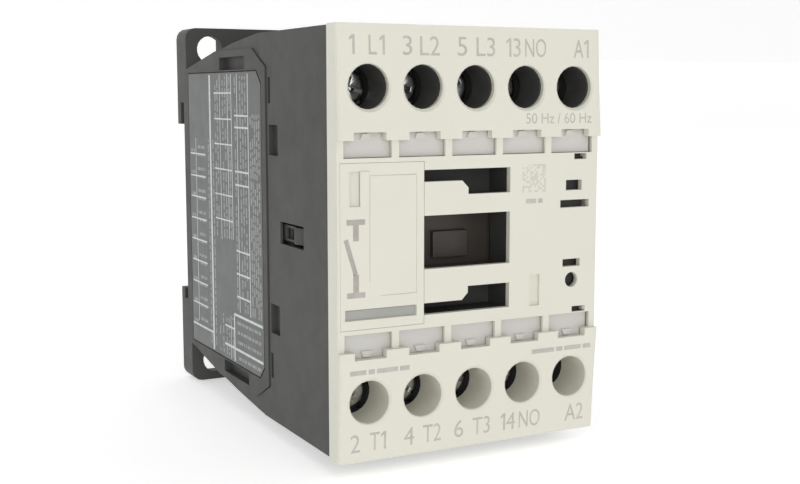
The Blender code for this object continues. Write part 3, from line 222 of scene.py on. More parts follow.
def bright_metal(name, colour, roughness, along=(1.0, 1.0, 1.0), scale=900.0, stain=0.15):
    """Metal with fine tool lines along one direction, light staining and a soft tarnish."""
    material, tree, shader, place = new_finish(name, colour, roughness, 1.0)
    lined = shade(tree, "Mapping", {"Vector": place, "Scale": along})
    lines = shade(tree, "TexNoise", {"Vector": lined.outputs[0], "Scale": scale, "Detail": 4.0})
    cloud = shade(
        tree, "TexNoise", {"Vector": place, "Scale": 420.0, "Detail": 5.0, "Roughness": 0.6}
    )
    tarnish = tuple(c * (1.0 - stain) for c in colour)
    tone = blend_colours(tree, spread(tree, cloud.outputs[0], 0.35, 0.7, 0.0, 1.0), colour, tarnish)
    tree.links.new(tone, shader.inputs["Base Color"])
    worn = spread(tree, lines.outputs[0], 0.3, 0.7, roughness - 0.08, roughness + 0.12)
    tree.links.new(worn, shader.inputs["Roughness"])
    bump = shade(
        tree, "Bump", {"Height": lines.outputs[0], "Strength": 0.35, "Distance": 0.006 * MM}
    )
    tree.links.new(bump.outputs[0], shader.inputs["Normal"])
    return material


spring_strip = bright_metal("spring_strip", SPRING_STEEL_COLOUR, 0.3, along=(0.08, 1.0, 1.0))
bm = eased("rail_spring", 0.08)
made_piece("rail_strip_spring", bm, spring_strip, "rail_spring", "spring_steel", "rail_spring")

# Magnet: an E-shaped core and armature stacked from riveted silicon-steel laminations, with copper
# shading rings pressed into the core's outer poles, on a moulded rubber cushion. The pole faces are
# ground, and the lamination edges show as fine stripes across the stack.


def stacked_laminations(name, colour):
    """Laminated iron: stripes across the stack, each sheet a slightly different tone."""
    sheet_thickness = 0.5 * MM
    material, tree, shader, place = new_finish(name, colour, 0.38, 1.0)
    split = shade(tree, "SeparateXYZ", {0: place})
    sheets = shade(
        tree, "Math", {0: split.outputs[2], 1: 1.0 / sheet_thickness}, operation="MULTIPLY"
    )
    number = shade(tree, "Math", {0: sheets.outputs[0]}, operation="FLOOR")
    within = shade(tree, "Math", {0: sheets.outputs[0]}, operation="FRACT")
    tone = shade(tree, "TexWhiteNoise", {"W": number.outputs[0]}, noise_dimensions="1D")
    low = tuple(c * 0.8 for c in colour)
    high = tuple(min(1.0, c * 1.15) for c in colour)
    tree.links.new(blend_colours(tree, tone.outputs[0], low, high), shader.inputs["Base Color"])
    edge = shade(tree, "Math", {0: within.outputs[0], 1: 0.5}, operation="SUBTRACT")
    seam = shade(tree, "Math", {0: edge.outputs[0]}, operation="ABSOLUTE")
    groove = spread(tree, seam.outputs[0], 0.36, 0.5, 1.0, 0.0)
    scratch = shade(tree, "TexNoise", {"Vector": place, "Scale": 1800.0, "Detail": 3.0})
    worn = spread(tree, scratch.outputs[0], 0.3, 0.7, 0.3, 0.5)
    tree.links.new(worn, shader.inputs["Roughness"])
    bump = shade(tree, "Bump", {"Height": groove, "Strength": 0.6, "Distance": 0.03 * MM})
    tree.links.new(bump.outputs[0], shader.inputs["Normal"])
    return material


laminations = stacked_laminations("laminations", (0.36, 0.36, 0.38))
stacks = (("core_stack", "fixed_core", "housing"), ("armature_stack", "armature", "carrier"))
for name, node, body in stacks:
    made_piece(name, eased(node, 0.12), laminations, body, "laminated_iron", node)
key_steel = bright_metal("key_steel", (0.5, 0.5, 0.52), 0.28, along=(1.0, 1.0, 0.1))
bm = bmesh.new()
low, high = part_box("armature_key")
pin_radius = (high[0] - low[0]) / 2
bmesh.ops.create_cone(
    bm,
    cap_ends=True,
    segments=40,
    radius1=pin_radius,
    radius2=pin_radius,
    depth=high[2] - low[2],
)
rims = [e for e in bm.edges if abs(e.verts[0].co.z - e.verts[1].co.z) < 1e-7]
ease_edges(bm, rims, 0.2, segments=3)
bmesh.ops.translate(bm, verts=bm.verts, vec=(Vector(low) + Vector(high)) / 2)
made_piece("armature_key_pin", bm, key_steel, "carrier", "laminated_iron", "armature_key")
ring_copper = bright_metal("ring_copper", (0.66, 0.34, 0.21), 0.3, scale=700.0, stain=0.3)
for side in ("left", "right"):
    node = f"shading_ring_{side}"
    made_piece(f"{node}_pressed", eased(node, 0.12), ring_copper, "housing", "copper", node)
cushion_rubber = moulded(
    "cushion_rubber_black", (0.02, 0.02, 0.02), 0.75, grain=0.4, relief=0.03, gloss=0.3
)
bm = eased("core_cushion", 0.2, segments=3)
made_piece("core_cushion_moulding", bm, cushion_rubber, "housing", "cushion_rubber", "core_cushion")

# Coil: enamelled copper wire wound on a nylon bobbin and bound with polyester tape. The bobbin is
# an injection moulding with thin flanges and two ears that carry the coil's terminals.

bobbin_red = moulded(
    "bobbin_red_nylon", (0.32, 0.045, 0.03), 0.38, grain=0.5, relief=0.008, gloss=0.5
)
bm = eased("coil_bobbin", 0.12)
made_piece("bobbin_moulding", bm, bobbin_red, "housing", "bobbin_nylon", "coil_bobbin")
winding_tape, tree, shader, place = new_finish("winding_tape_amber", (0.55, 0.36, 0.07), 0.32)
split = shade(tree, "SeparateXYZ", {0: place})
TAPE_WIDTH = 4.4 * MM
laps = shade(tree, "Math", {0: split.outputs[1], 1: 1.0 / TAPE_WIDTH}, operation="MULTIPLY")
lap = shade(tree, "Math", {0: laps.outputs[0]}, operation="FRACT")
lap_edge = spread(tree, lap.outputs[0], 0.0, 0.06, 0.0, 1.0)
wires = shade(
    tree, "TexWave", {"Vector": place, "Scale": 900.0, "Distortion": 0.4}, bands_direction="Y"
)
under = blend_colours(tree, wires.outputs[0], (0.42, 0.22, 0.05), (0.62, 0.42, 0.1))
tree.links.new(
    blend_colours(tree, lap_edge, (0.25, 0.14, 0.03), under), shader.inputs["Base Color"]
)
shader.inputs["Coat Weight"].default_value = 0.4
shader.inputs["Coat Roughness"].default_value = 0.15
bump = shade(tree, "Bump", {"Height": wires.outputs[0], "Strength": 0.4, "Distance": 0.02 * MM})
lapped = shade(
    tree,
    "Bump",
    {"Height": lap_edge, "Strength": 0.8, "Distance": 0.05 * MM, "Normal": bump.outputs[0]},
)
tree.links.new(lapped.outputs[0], shader.inputs["Normal"])
bm = eased("coil_winding", 0.3, segments=3)
made_piece("taped_winding", bm, winding_tape, "housing", "winding_tape", "coil_winding")

# Springs: hard-drawn wire coiled on a lathe, with the ends cut square. Two push the carrier
# forward and one presses on each contact bridge. Each is redrawn with round wire, at the same
# size as its solid.

spring_wire = bright_metal("spring_wire", SPRING_STEEL_COLOUR, 0.26, scale=1500.0)
STEPS_A_TURN = 28


def coiled(centre, start, length, radius, wire, turns):
    """Round wire carried round the Y axis while it climbs along it, with capped ends."""
    bm = bmesh.new()
    bmesh.ops.create_circle(bm, cap_ends=True, segments=10, radius=wire / 2)
    bmesh.ops.translate(bm, verts=bm.verts, vec=(radius, 0.0, 0.0))
    bmesh.ops.translate(bm, verts=bm.verts, vec=(centre[0], start + wire / 2, centre[2]))
    steps = int(turns * STEPS_A_TURN)
    climb = (length - wire) / steps
    bmesh.ops.spin(
        bm,
        geom=bm.verts[:] + bm.edges[:] + bm.faces[:],
        cent=(centre[0], 0.0, centre[2]),
        axis=(0.0, 1.0, 0.0),
        dvec=(0.0, climb, 0.0),
        angle=2 * math.pi * turns,
        steps=steps,
        use_duplicate=False,
    )
    bmesh.ops.recalc_face_normals(bm, faces=bm.faces)
    return bm


# Each spring's node, the body that its still end sits on, the body that it moves with, the radius of
# its coil and its wire's diameter in millimetres, and its turns.
springs = [
    (f"return_spring_{row}", "housing", "carrier", 1.8, 0.6, 5.0) for row in ("top", "bottom")
]
springs += [(f"contact_spring_{i}", "carrier", "bridges", 1.4, 0.45, 3.5) for i in range(1, 5)]
bridge_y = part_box("contact_bridge_1")[0][1]
for node, seat, moved, radius, wire, turns in springs:
    low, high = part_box(node)
    centre = ((low[0] + high[0]) / 2, 0.0, (low[2] + high[2]) / 2)
    if node.startswith("contact"):
        centre = (round(centre[0] / POLE_PITCH * 2) / 2 * POLE_PITCH, 0.0, 0.0)
    bm = coiled(centre, low[1], high[1] - low[1], radius * MM, wire * MM, turns)
    spring = made_piece(f"{node}_coil", bm, spring_wire, None, "spring_steel", node)
    front_end = (centre[0], low[1], centre[2])
    rear_end = (centre[0], high[1], centre[2])
    moved_in_front = moved == "carrier" or bridge_y < low[1]
    start, end = (rear_end, front_end) if moved_in_front else (front_end, rear_end)
    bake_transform(spring)

# Contact housing: the dark front half, moulded from the same polyamide as the rear. It holds the
# terminals in ten open-ended chambers and the contacts in four arc chambers.

bm = eased("contact_housing", 0.14)
made_piece("front_moulding", bm, housing_grey, "housing", "housing_dark_grey", "contact_housing")

# Terminals and contacts: stamped from copper strip, thinly silver plated, with riveted silver
# tips. The bars slide into the housing from its ends and the bridges drop into the carrier.

silvered = bright_metal(
    "silvered_strip", (0.78, 0.71, 0.62), 0.26, along=(1.0, 0.3, 1.0), stain=0.22
)
terminals = [
    (f"fixed_contact_{row}_{i}", "housing") for row in ("top", "bottom") for i in range(1, 5)
]
terminals += [("coil_terminal_A1", "housing"), ("coil_terminal_A2", "housing")]
terminals += [(f"contact_bridge_{i}", "bridges") for i in range(1, 5)]
for node, body in terminals:
    bm = eased(node, 0.07)
    made_piece(f"{node}_stamping", bm, silvered, body, "silvered_copper", node)

# Contact carrier: a near-black moulding that slides in the middle of the front housing. Its head
# shows in the cover's centre window and takes the plunger of an added block.

carrier_black = moulded(
    "carrier_near_black", (0.062, 0.054, 0.046), 0.4, grain=0.5, relief=0.01, gloss=0.45
)
bm = eased("contact_carrier", 0.12)
made_piece("carrier_moulding", bm, carrier_black, "carrier", "carrier_black", "contact_carrier")

# Terminal screws and clamp plates: cold-headed M3.5 screws with a rolled thread and a cross and
# slot drive, each captive in a square stamped clamp plate. Both are zinc plated and a little dull.

zinc = bright_metal("zinc_plate", (0.60, 0.60, 0.585), 0.3, scale=650.0, stain=0.25)
plate_zinc = bright_metal(
    "zinc_plate_stamped", (0.56, 0.56, 0.54), 0.34, along=(0.3, 1.0, 1.0), stain=0.25
)
THREAD_PITCH = 0.6 * MM
THREAD_DEPTH = 0.22 * MM


def turned(bm, profile, steps):
    """A closed turned body from (radius, y) points, about the Y axis."""
    verts = [bm.verts.new((r, y, 0.0)) for r, y in profile]
    edges = [bm.edges.new(pair) for pair in zip(verts, verts[1:])]
    bmesh.ops.spin(
        bm,
        geom=verts + edges,
        cent=(0.0, 0.0, 0.0),
        axis=(0.0, 1.0, 0.0),
        angle=2 * math.pi,
        steps=steps,
        use_merge=True,
        use_duplicate=False,
    )
    bmesh.ops.remove_doubles(bm, verts=bm.verts, dist=MERGE_DISTANCE)
    bmesh.ops.recalc_face_normals(bm, faces=bm.faces)


def cut_by(bm, tool):
    """Takes one bmesh away from another and returns what is left as a bmesh."""
    holders = []
    for part in (bm, tool):
        mesh = bpy.data.meshes.new("work")
        part.to_mesh(mesh)
        part.free()
        holder = bpy.data.objects.new("work", mesh)
        bpy.context.scene.collection.objects.link(holder)
        holders.append(holder)
    modifier = holders[0].modifiers.new("tool", "BOOLEAN")
    modifier.object = holders[1]
    modifier.operation = "DIFFERENCE"
    modifier.solver = "EXACT"
    modifier.use_self = True
    graph = bpy.context.evaluated_depsgraph_get()
    result = bmesh.new()
    result.from_mesh(bpy.data.meshes.new_from_object(holders[0].evaluated_get(graph)))
    for holder in holders:
        bpy.data.objects.remove(holder, do_unlink=True)
    return result


def block(bm, low, high):
    """A rectangular block between two corners."""
    made = bmesh.ops.create_cube(bm, size=1.0)["verts"]
    size = [b - a for a, b in zip(low, high)]
    middle = [(a + b) / 2 for a, b in zip(low, high)]
    bmesh.ops.scale(bm, verts=made, vec=size)
    bmesh.ops.translate(bm, verts=made, vec=middle)
    return made


def screw_shape():
    """One screw with its head's face at y = 0 on the Y axis."""
    low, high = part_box("terminal_screw_top_1")
    head_r = (high[0] - low[0]) / 2
    length = high[1] - low[1]
    head = 2.0 * MM
    cross_depth = 1.3 * MM
    slot_depth = 0.62 * MM
    slot_half = 0.36 * MM
    core = 1.75 * MM - THREAD_DEPTH
    profile = [(0.0, 0.0), (head_r - 0.75 * MM, 0.0), (head_r - 0.32 * MM, 0.08 * MM)]
    profile += [(head_r - 0.08 * MM, 0.3 * MM), (head_r, 0.6 * MM), (head_r, head - 0.15 * MM)]
    profile += [(head_r - 0.15 * MM, head), (core, head), (core, length - 0.7 * MM)]
    profile += [(core - 0.55 * MM, length - 0.05 * MM), (0.0, length - 0.05 * MM)]
    bm = bmesh.new()
    turned(bm, profile, 48)
    drive = bmesh.new()
    arm = 2.05 * MM
    half = 0.42 * MM
    for x, z in ((arm, half), (half, arm)):
        made = block(drive, (-x, -MM, -z), (x, cross_depth, z))
        deep = [v for v in made if v.co.y > 0]
        bmesh.ops.scale(drive, verts=deep, vec=(0.6, 1.0, 0.6))
    bm = cut_by(bm, drive)
    slot_tool = bmesh.new()
    reach = head_r + MM
    block(slot_tool, (-reach, -MM, -slot_half), (reach, slot_depth, slot_half))
    bm = cut_by(bm, slot_tool)
    near = [e for e in corners(bm, 50) if all(v.co.y < 1.6 * MM for v in e.verts)]
    ease_edges(bm, near, 0.05, segments=1, clamp=True)
    thread = bmesh.new()
    start = head + 0.25 * MM
    root = core - 0.06 * MM
    tooth = [(root, start - 0.2 * MM), (core + THREAD_DEPTH, start), (root, start + 0.2 * MM)]
    verts = [thread.verts.new((r, y, 0.0)) for r, y in tooth]
    thread.faces.new(verts)
    turns = (length - head - 1.1 * MM) / THREAD_PITCH
    steps = int(turns * 24)
    bmesh.ops.spin(
        thread,
        geom=thread.verts[:] + thread.edges[:] + thread.faces[:],
        cent=(0.0, 0.0, 0.0),
        axis=(0.0, 1.0, 0.0),
        dvec=(0.0, THREAD_PITCH * turns / steps, 0.0),
        angle=2 * math.pi * turns,
        steps=steps,
        use_duplicate=False,
    )
    bmesh.ops.recalc_face_normals(thread, faces=thread.faces)
    mesh = bpy.data.meshes.new("thread")
    thread.to_mesh(mesh)
    thread.free()
    bm.from_mesh(mesh)
    return bm


def clamp_shape():
    """One clamp plate with its front face at y = 0: a stamped square with grip ribs underneath."""
    bm = eased("clamp_plate_top_1", 0.1)
    low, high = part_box("clamp_plate_top_1")
    middle = (Vector(low) + Vector(high)) / 2
    bmesh.ops.translate(bm, verts=bm.verts, vec=(-middle.x, -low[1], -middle.z))
    half = (high[0] - low[0]) / 2
    rib_reach = half - 0.5 * MM
    for z in (-2.5, 2.5):
        low_corner = (-half + 0.5 * MM, 1.1 * MM, (z - 0.2) * MM)
        made = block(bm, low_corner, (rib_reach, 1.38 * MM, (z + 0.2) * MM))
        top = [v for v in made if v.co.y > 1.2 * MM]
        about_rib = Matrix.Translation((0, 0, -z * MM))
        bmesh.ops.scale(bm, verts=top, vec=(1.0, 1.0, 0.5), space=about_rib)
    return bm


def kept_mesh(name, bm):
    """Stores a bmesh as a mesh, to be copied."""
    mesh = bpy.data.meshes.new(name)
    bm.to_mesh(mesh)
    bm.free()
    return mesh


screw_mesh = kept_mesh("screw_shape", screw_shape())
clamp_mesh = kept_mesh("clamp_shape", clamp_shape())
turn_angles = iter((17, 102, 58, 141, 76, 33, 121, 8, 95, 160))
kinds = (
    ("terminal_screw", "turned", "screw", screw_mesh, zinc, "zinc_plated_steel"),
    ("clamp_plate", "stamped", "clamp", clamp_mesh, plate_zinc, "clamp_plate_steel"),
)
for place_name in [f"{row}_{i}" for row in ("top", "bottom") for i in range(1, 6)]:
    for kind, ending, mover, shape, finish, slot in kinds:
        node = f"{kind}_{place_name}"
        low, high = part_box(node)
        middle = (Vector(low) + Vector(high)) / 2
        bm = bmesh.new()
        bm.from_mesh(shape)
        if shape == screw_mesh:
            turn = Matrix.Rotation(math.radians(next(turn_angles)), 3, "Y")
            bmesh.ops.rotate(bm, verts=bm.verts, cent=(0, 0, 0), matrix=turn)
        bmesh.ops.translate(bm, verts=bm.verts, vec=(middle.x, low[1], middle.z))
        made_piece(f"{node}_{ending}", bm, finish, f"{mover}_{place_name}", slot, node)

# Front cover: a snap-on tray of cream polyamide with the lower row's screw sleeves moulded on. The
# spark-eroded face is matt, its edges are barely eased, and ejector and gate marks stay inside.

FRONT = cad_box[0][1]
cover_cream = moulded("cover_cream_plastic", (0.70, 0.69, 0.60), 0.5, grain=0.26, mottle=0.02)
cover_bm = eased("front_cover", 0.14)
cover_front = BVHTree.FromBMesh(cover_bm)
made_piece("cover_tray", cover_bm, cover_cream, "housing", "cover_cream", "front_cover")

# Marker strips: push-in strips of smooth pale grey plastic behind the ten windows. They have a
# small grip in each notch, are meant to be written on, and end in a hook at the right.

strip_grey = moulded(
    "strip_pale_grey", (0.60, 0.585, 0.555), 0.42, grain=0.5, relief=0.005, mottle=0.03
)
for row in ("top", "bottom"):
    node = f"marker_strip_{row}"
    bm = eased(node, 0.06)
    made_piece(f"{node}_pushed", bm, strip_grey, "housing", "marker_pale_grey", node)
hooks = bmesh.new()
for z0, z1 in ((11.62, 12.3), (-12.3, -11.62)):
    high_corner = (21.25 * MM, FRONT + 1.8 * MM, z1 * MM)
    block(hooks, (20.45 * MM, FRONT + 1.1 * MM, z0 * MM), high_corner)
ease_edges(hooks, hooks.edges[:], 0.08)
made_piece("strip_end_hooks", hooks, strip_grey, "housing", "marker_pale_grey")

# Name panel: a cream moulding clipped into the cover's pocket with hardly a gap. It has a finger
# recess beside a raised lifting tab and a fine engraved frame. A thin dark grey sheet on the floor
# of its long slot paints the shade that falls in that slot.

low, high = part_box("nameplate_panel")
PANEL_FACE = low[1]
PANEL_GAP = 0.26 * MM
ENGRAVING = 0.13 * MM
bm = flat_copy("nameplate_panel")
for axis in (0, 2):
    for side, move in ((low, -PANEL_GAP), (high, PANEL_GAP)):
        end = [v for v in bm.verts if abs(v.co[axis] - side[axis]) < 0.01 * MM]
        shift = [0.0, 0.0, 0.0]
        shift[axis] = move
        bmesh.ops.translate(bm, verts=end, vec=shift)
long_edges = [e for e in bm.edges if e.calc_length() > 13.0 * MM]
rim = [e for e in long_edges if all(v.co.y < PANEL_FACE + 0.01 * MM for v in e.verts)]
ease_edges(bm, rim, 0.06)
engraver = bmesh.new()
frame_lines = (
    ((-17.35, -17.35), (-5.1, 10.15)),
    ((-17.35, -9.75), (10.15, 10.15)),
    ((-9.75, -9.75), (-7.2, 10.15)),
    ((-15.5, -9.75), (-7.2, -7.2)),
)
for (x0, x1), (z0, z1) in frame_lines:
    low_corner = (x0 * MM - ENGRAVING / 2, PANEL_FACE - MM, z0 * MM - ENGRAVING / 2)
    high_corner = (
        x1 * MM + ENGRAVING / 2,
        PANEL_FACE + ENGRAVING,
        z1 * MM + ENGRAVING / 2,
    )
    block(engraver, low_corner, high_corner)
bm = cut_by(bm, engraver)
low_corner = (-18.95 * MM, PANEL_FACE - 0.3 * MM, 5.75 * MM)
tab = block(bm, low_corner, (-17.45 * MM, PANEL_FACE + 0.1 * MM, 10.8 * MM))
tab_edges = {e for v in tab for e in v.link_edges}
ridge = [e for e in tab_edges if all(end.co.y < PANEL_FACE for end in e.verts)]
ease_edges(bm, ridge, 0.12, segments=3)
made_piece("name_panel", bm, cover_cream, "housing", "cover_cream", "nameplate_panel")
# Painted shade: this thin dark grey sheet on the long slot's floor stands in for the slot's shade
# and is no real part.
slot_shade_finish = moulded("painted_slot_shade", (0.36, 0.365, 0.335), 0.5, grain=0.4, relief=0.008)
bm = bmesh.new()
low_corner = (-21.2 * MM, PANEL_FACE + 0.3 * MM, -10.5 * MM)
block(bm, low_corner, (-9.8 * MM, PANEL_FACE + 0.55 * MM, -9.1 * MM))
ease_edges(bm, bm.edges[:], 0.05)
made_piece("slot_shade_sheet", bm, slot_shade_finish, "housing", "marker_pale_grey")

# Printing on the front: terminal numbers in the standard scheme, the supply's frequency and plain
# bars, pad printed in a thin film of mid grey ink that follows the sloping face.

INK = 0.012 * MM
ink_grey, tree, shader, place = new_finish("ink_mid_grey", (0.46, 0.445, 0.40), 0.42)
dots = shade(tree, "TexNoise", {"Vector": place, "Scale": 5200.0, "Detail": 2.0})
patch = shade(tree, "TexNoise", {"Vector": place, "Scale": 600.0, "Detail": 3.0})
worn = spread(tree, patch.outputs[0], 0.35, 0.7, 0.0, 1.0)
thin = blend_colours(tree, worn, (0.44, 0.425, 0.38), (0.52, 0.50, 0.45))
speck = spread(tree, dots.outputs[0], 0.62, 0.74, 0.0, 1.0)
tree.links.new(blend_colours(tree, speck, thin, (0.60, 0.58, 0.52)), shader.inputs["Base Color"])


def lay_on_front(verts):
    """Drops flat print onto the cover's face. A point's y says only whether it is front or back."""
    for vert in verts:
        start = Vector((vert.co.x, -1.0, vert.co.z))
        hit = cover_front.ray_cast(start, Vector((0.0, 1.0, 0.0)))[0]
        vert.co.y = hit.y + (-INK if vert.co.y < 0 else 2 * INK)


def lettering(bm, text, x_range, z_range):
    """Adds a line of text to a bmesh, stretched to fill its place, with front and back sheets."""
    curve = bpy.data.curves.new("lettering", "FONT")
    curve.body = text
    curve.extrude = 0.1
    curve.resolution_u = 4
    holder = bpy.data.objects.new("lettering", curve)
    bpy.context.scene.collection.objects.link(holder)
    graph = bpy.context.evaluated_depsgraph_get()
    mesh = bpy.data.meshes.new_from_object(holder.evaluated_get(graph))
    bpy.data.objects.remove(holder, do_unlink=True)
    line = bmesh.new()
    line.from_mesh(mesh)
    bmesh.ops.remove_doubles(line, verts=line.verts, dist=1e-4)
    across = [v.co.x for v in line.verts]
    up = [v.co.y for v in line.verts]
    wide = (x_range[1] - x_range[0]) * MM / (max(across) - min(across))
    tall = (z_range[1] - z_range[0]) * MM / (max(up) - min(up))
    bmesh.ops.translate(line, verts=line.verts, vec=(-min(across), -min(up), 0.0))
    bmesh.ops.scale(line, verts=line.verts, vec=(wide, tall, MM))
    upright = Matrix.Rotation(math.pi / 2, 3, "X")
    bmesh.ops.rotate(line, verts=line.verts, cent=(0, 0, 0), matrix=upright)
    bmesh.ops.translate(line, verts=line.verts, vec=(x_range[0] * MM, 0.0, z_range[0] * MM))
    line.to_mesh(mesh)
    line.free()
    before = len(bm.verts)
    bm.from_mesh(mesh)
    bm.verts.ensure_lookup_table()
    return bm.verts[before:]


def numeral_one(bm, right, z_range):
    """A narrow figure 1 with a slanting flag, to match the other condensed characters."""
    foot, top = z_range
    stem = right - 0.36
    flag = right - 0.85
    outline = ((right, foot), (right, top), (stem, top), (flag, top - 0.42))
    outline += ((flag, top - 0.8), (stem, top - 0.5), (stem, foot))
    sheet = bm.faces.new([bm.verts.new((x * MM, -MM, z * MM)) for x, z in outline])
    swept = bmesh.ops.extrude_face_region(bm, geom=[sheet])["geom"]
    rear = [v for v in swept if isinstance(v, bmesh.types.BMVert)]
    bmesh.ops.translate(bm, verts=rear, vec=(0.0, 2 * MM, 0.0))
    return list(sheet.verts) + rear


# Each mark's characters with its left and right ends. A figure 1 is drawn by itself, from its right
# end, so the marks leave it out.
top_marks = (("L", -17.6, -16.3), ("3", -12.2, -10.7), ("L2", -9.4, -6.2), ("5", -3.2, -1.6))
top_marks += (("L3", 0.0, 3.2), ("3", 6.4, 7.7), ("NO", 8.5, 12.3), ("A", 17.4, 19.2))
low_marks = (("2", -20.7, -19.2), ("T", -17.6, -16.0), ("4", -12.0, -10.3), ("T2", -8.8, -5.7))
low_marks += (("6", -3.4, -1.8), ("T3", -0.2, 2.9), ("4", 5.9, 7.5), ("NO", 8.2, 12.1))
low_marks += (("A2", 16.9, 20.4),)
for name, marks, ones, heights in (
    ("terminal_marks_top", top_marks, (-19.75, -15.05, 6.05, 20.2), (27.15, 29.9)),
    ("terminal_marks_bottom", low_marks, (-14.95, 5.7), (-29.95, -27.25)),
):
    bm = bmesh.new()
    for text, x0, x1 in marks:
        lay_on_front(lettering(bm, text, (x0, x1), heights))
    for right in ones:
        lay_on_front(numeral_one(bm, right, heights))
    bmesh.ops.recalc_face_normals(bm, faces=bm.faces)
    made_piece(name, bm, ink_grey, "housing", "marker_pale_grey")
bm = bmesh.new()
lay_on_front(lettering(bm, "50 Hz / 60 Hz", (8.6, 20.7), (17.2, 18.8)))
made_piece("frequency_mark", bm, ink_grey, "housing", "marker_pale_grey")
BAR_HALF = 0.35
BAR_GAP = 0.35
bar_rows = (
    (-20.9, (2.6, 1.0, 3.4, 1.6), -18.1),
    (10.2, (4.2, 1.2, 3.2, 1.5), -18.0),
    (9.2, (1.9, 0.8), 5.4),
)
bars = bmesh.new()
for start, widths, z in bar_rows:
    for width in widths:
        low_corner = (start * MM, -MM, (z - BAR_HALF) * MM)
        high_corner = ((start + width) * MM, MM, (z + BAR_HALF) * MM)
        lay_on_front(block(bars, low_corner, high_corner))
        start += width + BAR_GAP
made_piece("plain_bars", bars, ink_grey, "housing", "marker_pale_grey")

# Maker's corner: where a maker prints its name there is a plain switch symbol, a pair of fixed
# contacts with an open blade, and at the right a small patch of random dots that encode nothing.


def patchy_ink(name, roughness, scale, thick, thin):
    """Pad-printed ink that is thinner in patches."""
    material, tree, shader, place = new_finish(name, thick, roughness)
    patch = shade(tree, "TexNoise", {"Vector": place, "Scale": scale, "Detail": 3.0})
    worn = spread(tree, patch.outputs[0], 0.35, 0.7, 0.0, 1.0)
    tree.links.new(blend_colours(tree, worn, thick, thin), shader.inputs["Base Color"])
    return material


symbol_ink = patchy_ink("ink_warm_grey", 0.4, 700.0, (0.38, 0.355, 0.325), (0.46, 0.43, 0.40))
bm = bmesh.new()
symbol_bars = (
    ((-21.0, -18.1), (-7.3, -6.5)),
    ((-20.0, -19.1), (-6.5, -3.9)),
    ((-20.0, -19.1), (0.9, 3.2)),
    ((-21.0, -18.1), (3.2, 4.0)),
)
for (x0, x1), (z0, z1) in symbol_bars:
    block(bm, (x0 * MM, -MM, z0 * MM), (x1 * MM, MM, z1 * MM))
blade = block(bm, (-19.95 * MM, -MM, -3.9 * MM), (-19.25 * MM, MM, 1.4 * MM))
hinge = (-19.55 * MM, 0.0, -3.9 * MM)
opened = Matrix.Rotation(math.radians(-17), 3, "Y")
bmesh.ops.rotate(bm, verts=blade, cent=hinge, matrix=opened)
for vert in bm.verts:
    vert.co.y = PANEL_FACE + (-INK if vert.co.y < 0 else 2 * INK)
made_piece("switch_symbol", bm, symbol_ink, "housing", "marker_pale_grey")
dot_order = random.Random(11)
bm = bmesh.new()
CELL = 0.36
CELLS = 12
DOT = 0.3 * MM
DOT_CHANCE = 0.52
for row in range(CELLS):
    for column in range(CELLS):
        if dot_order.random() < DOT_CHANCE:
            x0 = (8.55 + column * CELL) * MM
            z0 = (6.75 + row * CELL) * MM
            lay_on_front(block(bm, (x0, -MM, z0), (x0 + DOT, MM, z0 + DOT)))
dot_ink = patchy_ink("ink_pale_grey", 0.45, 900.0, (0.55, 0.54, 0.475), (0.62, 0.60, 0.53))
made_piece("random_dots", bm, dot_ink, "housing", "marker_pale_grey")

# Rating label: a satin film with white printing, glued into the left side's recess. The table's
# rules and the bars that stand for its unreadable words are printed as one thin layer each.

label_film = moulded(
    "label_film_dark", (0.10, 0.107, 0.102), 0.36, grain=0.8, relief=0.002, gloss=0.3
)
bm = eased("rating_label", 0.03)
made_piece("side_label", bm, label_film, "housing", "label_film", "rating_label")
LABEL_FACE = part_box("rating_label")[0][0]
LABEL_SHIFT = 3.2


def printed_bar(bm, y_range, z_range, lift=0.01):
    """One printed rectangle on the label, from positions counted back from the foot."""
    low_corner = (LABEL_FACE - lift * MM, (y_range[0] + LABEL_SHIFT) * MM, z_range[0] * MM)
    high_corner = (LABEL_FACE + 0.03 * MM, (y_range[1] + LABEL_SHIFT) * MM, z_range[1] * MM)
    block(bm, low_corner, high_corner)


def printed_ink(name, colour, roughness, fade):
    """Screen-printed ink with small thin spots."""
    material, tree, shader, place = new_finish(name, colour, roughness)
    spots = shade(tree, "TexNoise", {"Vector": place, "Scale": 1500.0, "Detail": 4.0})
    faded = tuple(c * fade for c in colour)
    factor = spread(tree, spots.outputs[0], 0.45, 0.7, 0.0, 1.0)
    tree.links.new(blend_colours(tree, factor, colour, faded), shader.inputs["Base Color"])
    return material


rules = bmesh.new()
# Upright rules: place, width, foot and top.
upright = [(-38.6, 0.3, -15.9, 25.0), (-33.4, 0.25, -15.9, 25.0), (-30.5, 0.25, -3.5, 25.0)]
upright += [(-28.6, 0.25, -3.5, 25.0), (-24.6, 0.2, -4.0, 25.0), (-19.2, 0.75, -25.0, 25.0)]
upright += [(-10.8, 0.22, -21.0, 13.5), (-30.4, 0.5, -25.0, -16.6), (-28.6, 0.2, -25.0, -17.2)]
for y, width, z0, z1 in upright:
    printed_bar(rules, (y - width / 2, y + width / 2), (z0, z1))
# Level rules: two ends, height and width.
across = [(-38.6, -32.0, z, 0.3) for z in (18.0, 16.0, 8.5, 6.2, -5.2, -9.2, -13.2)]
across += [(-30.5, -21.5, z, 0.25) for z in (21.8, 17.3, 12.9, 8.5, 4.0, -0.4)]
across += [(-16.2, -7.6, z, 0.28) for z in (10.6, 6.5, 2.6, -1.5, -5.5, -9.5, -13.6, -17.7)]
across += [(-18.9, -7.2, -21.9, 0.35), (-30.4, -25.5, -19.3, 0.3)]
across += [(-44.2, -30.4, -16.6, 0.45), (-44.2, -25.3, -22.7, 0.45)]
for y0, y1, z, width in across:
    printed_bar(rules, (y0, y1), (z - width / 2, z + width / 2), lift=0.012)
label_white = printed_ink("label_white", (0.62, 0.66, 0.64), 0.4, 0.75)
made_piece("label_rules", rules, label_white, "housing", "label_film")
words = bmesh.new()
word_order = random.Random(23)
SHORTEST_WORD = 0.25
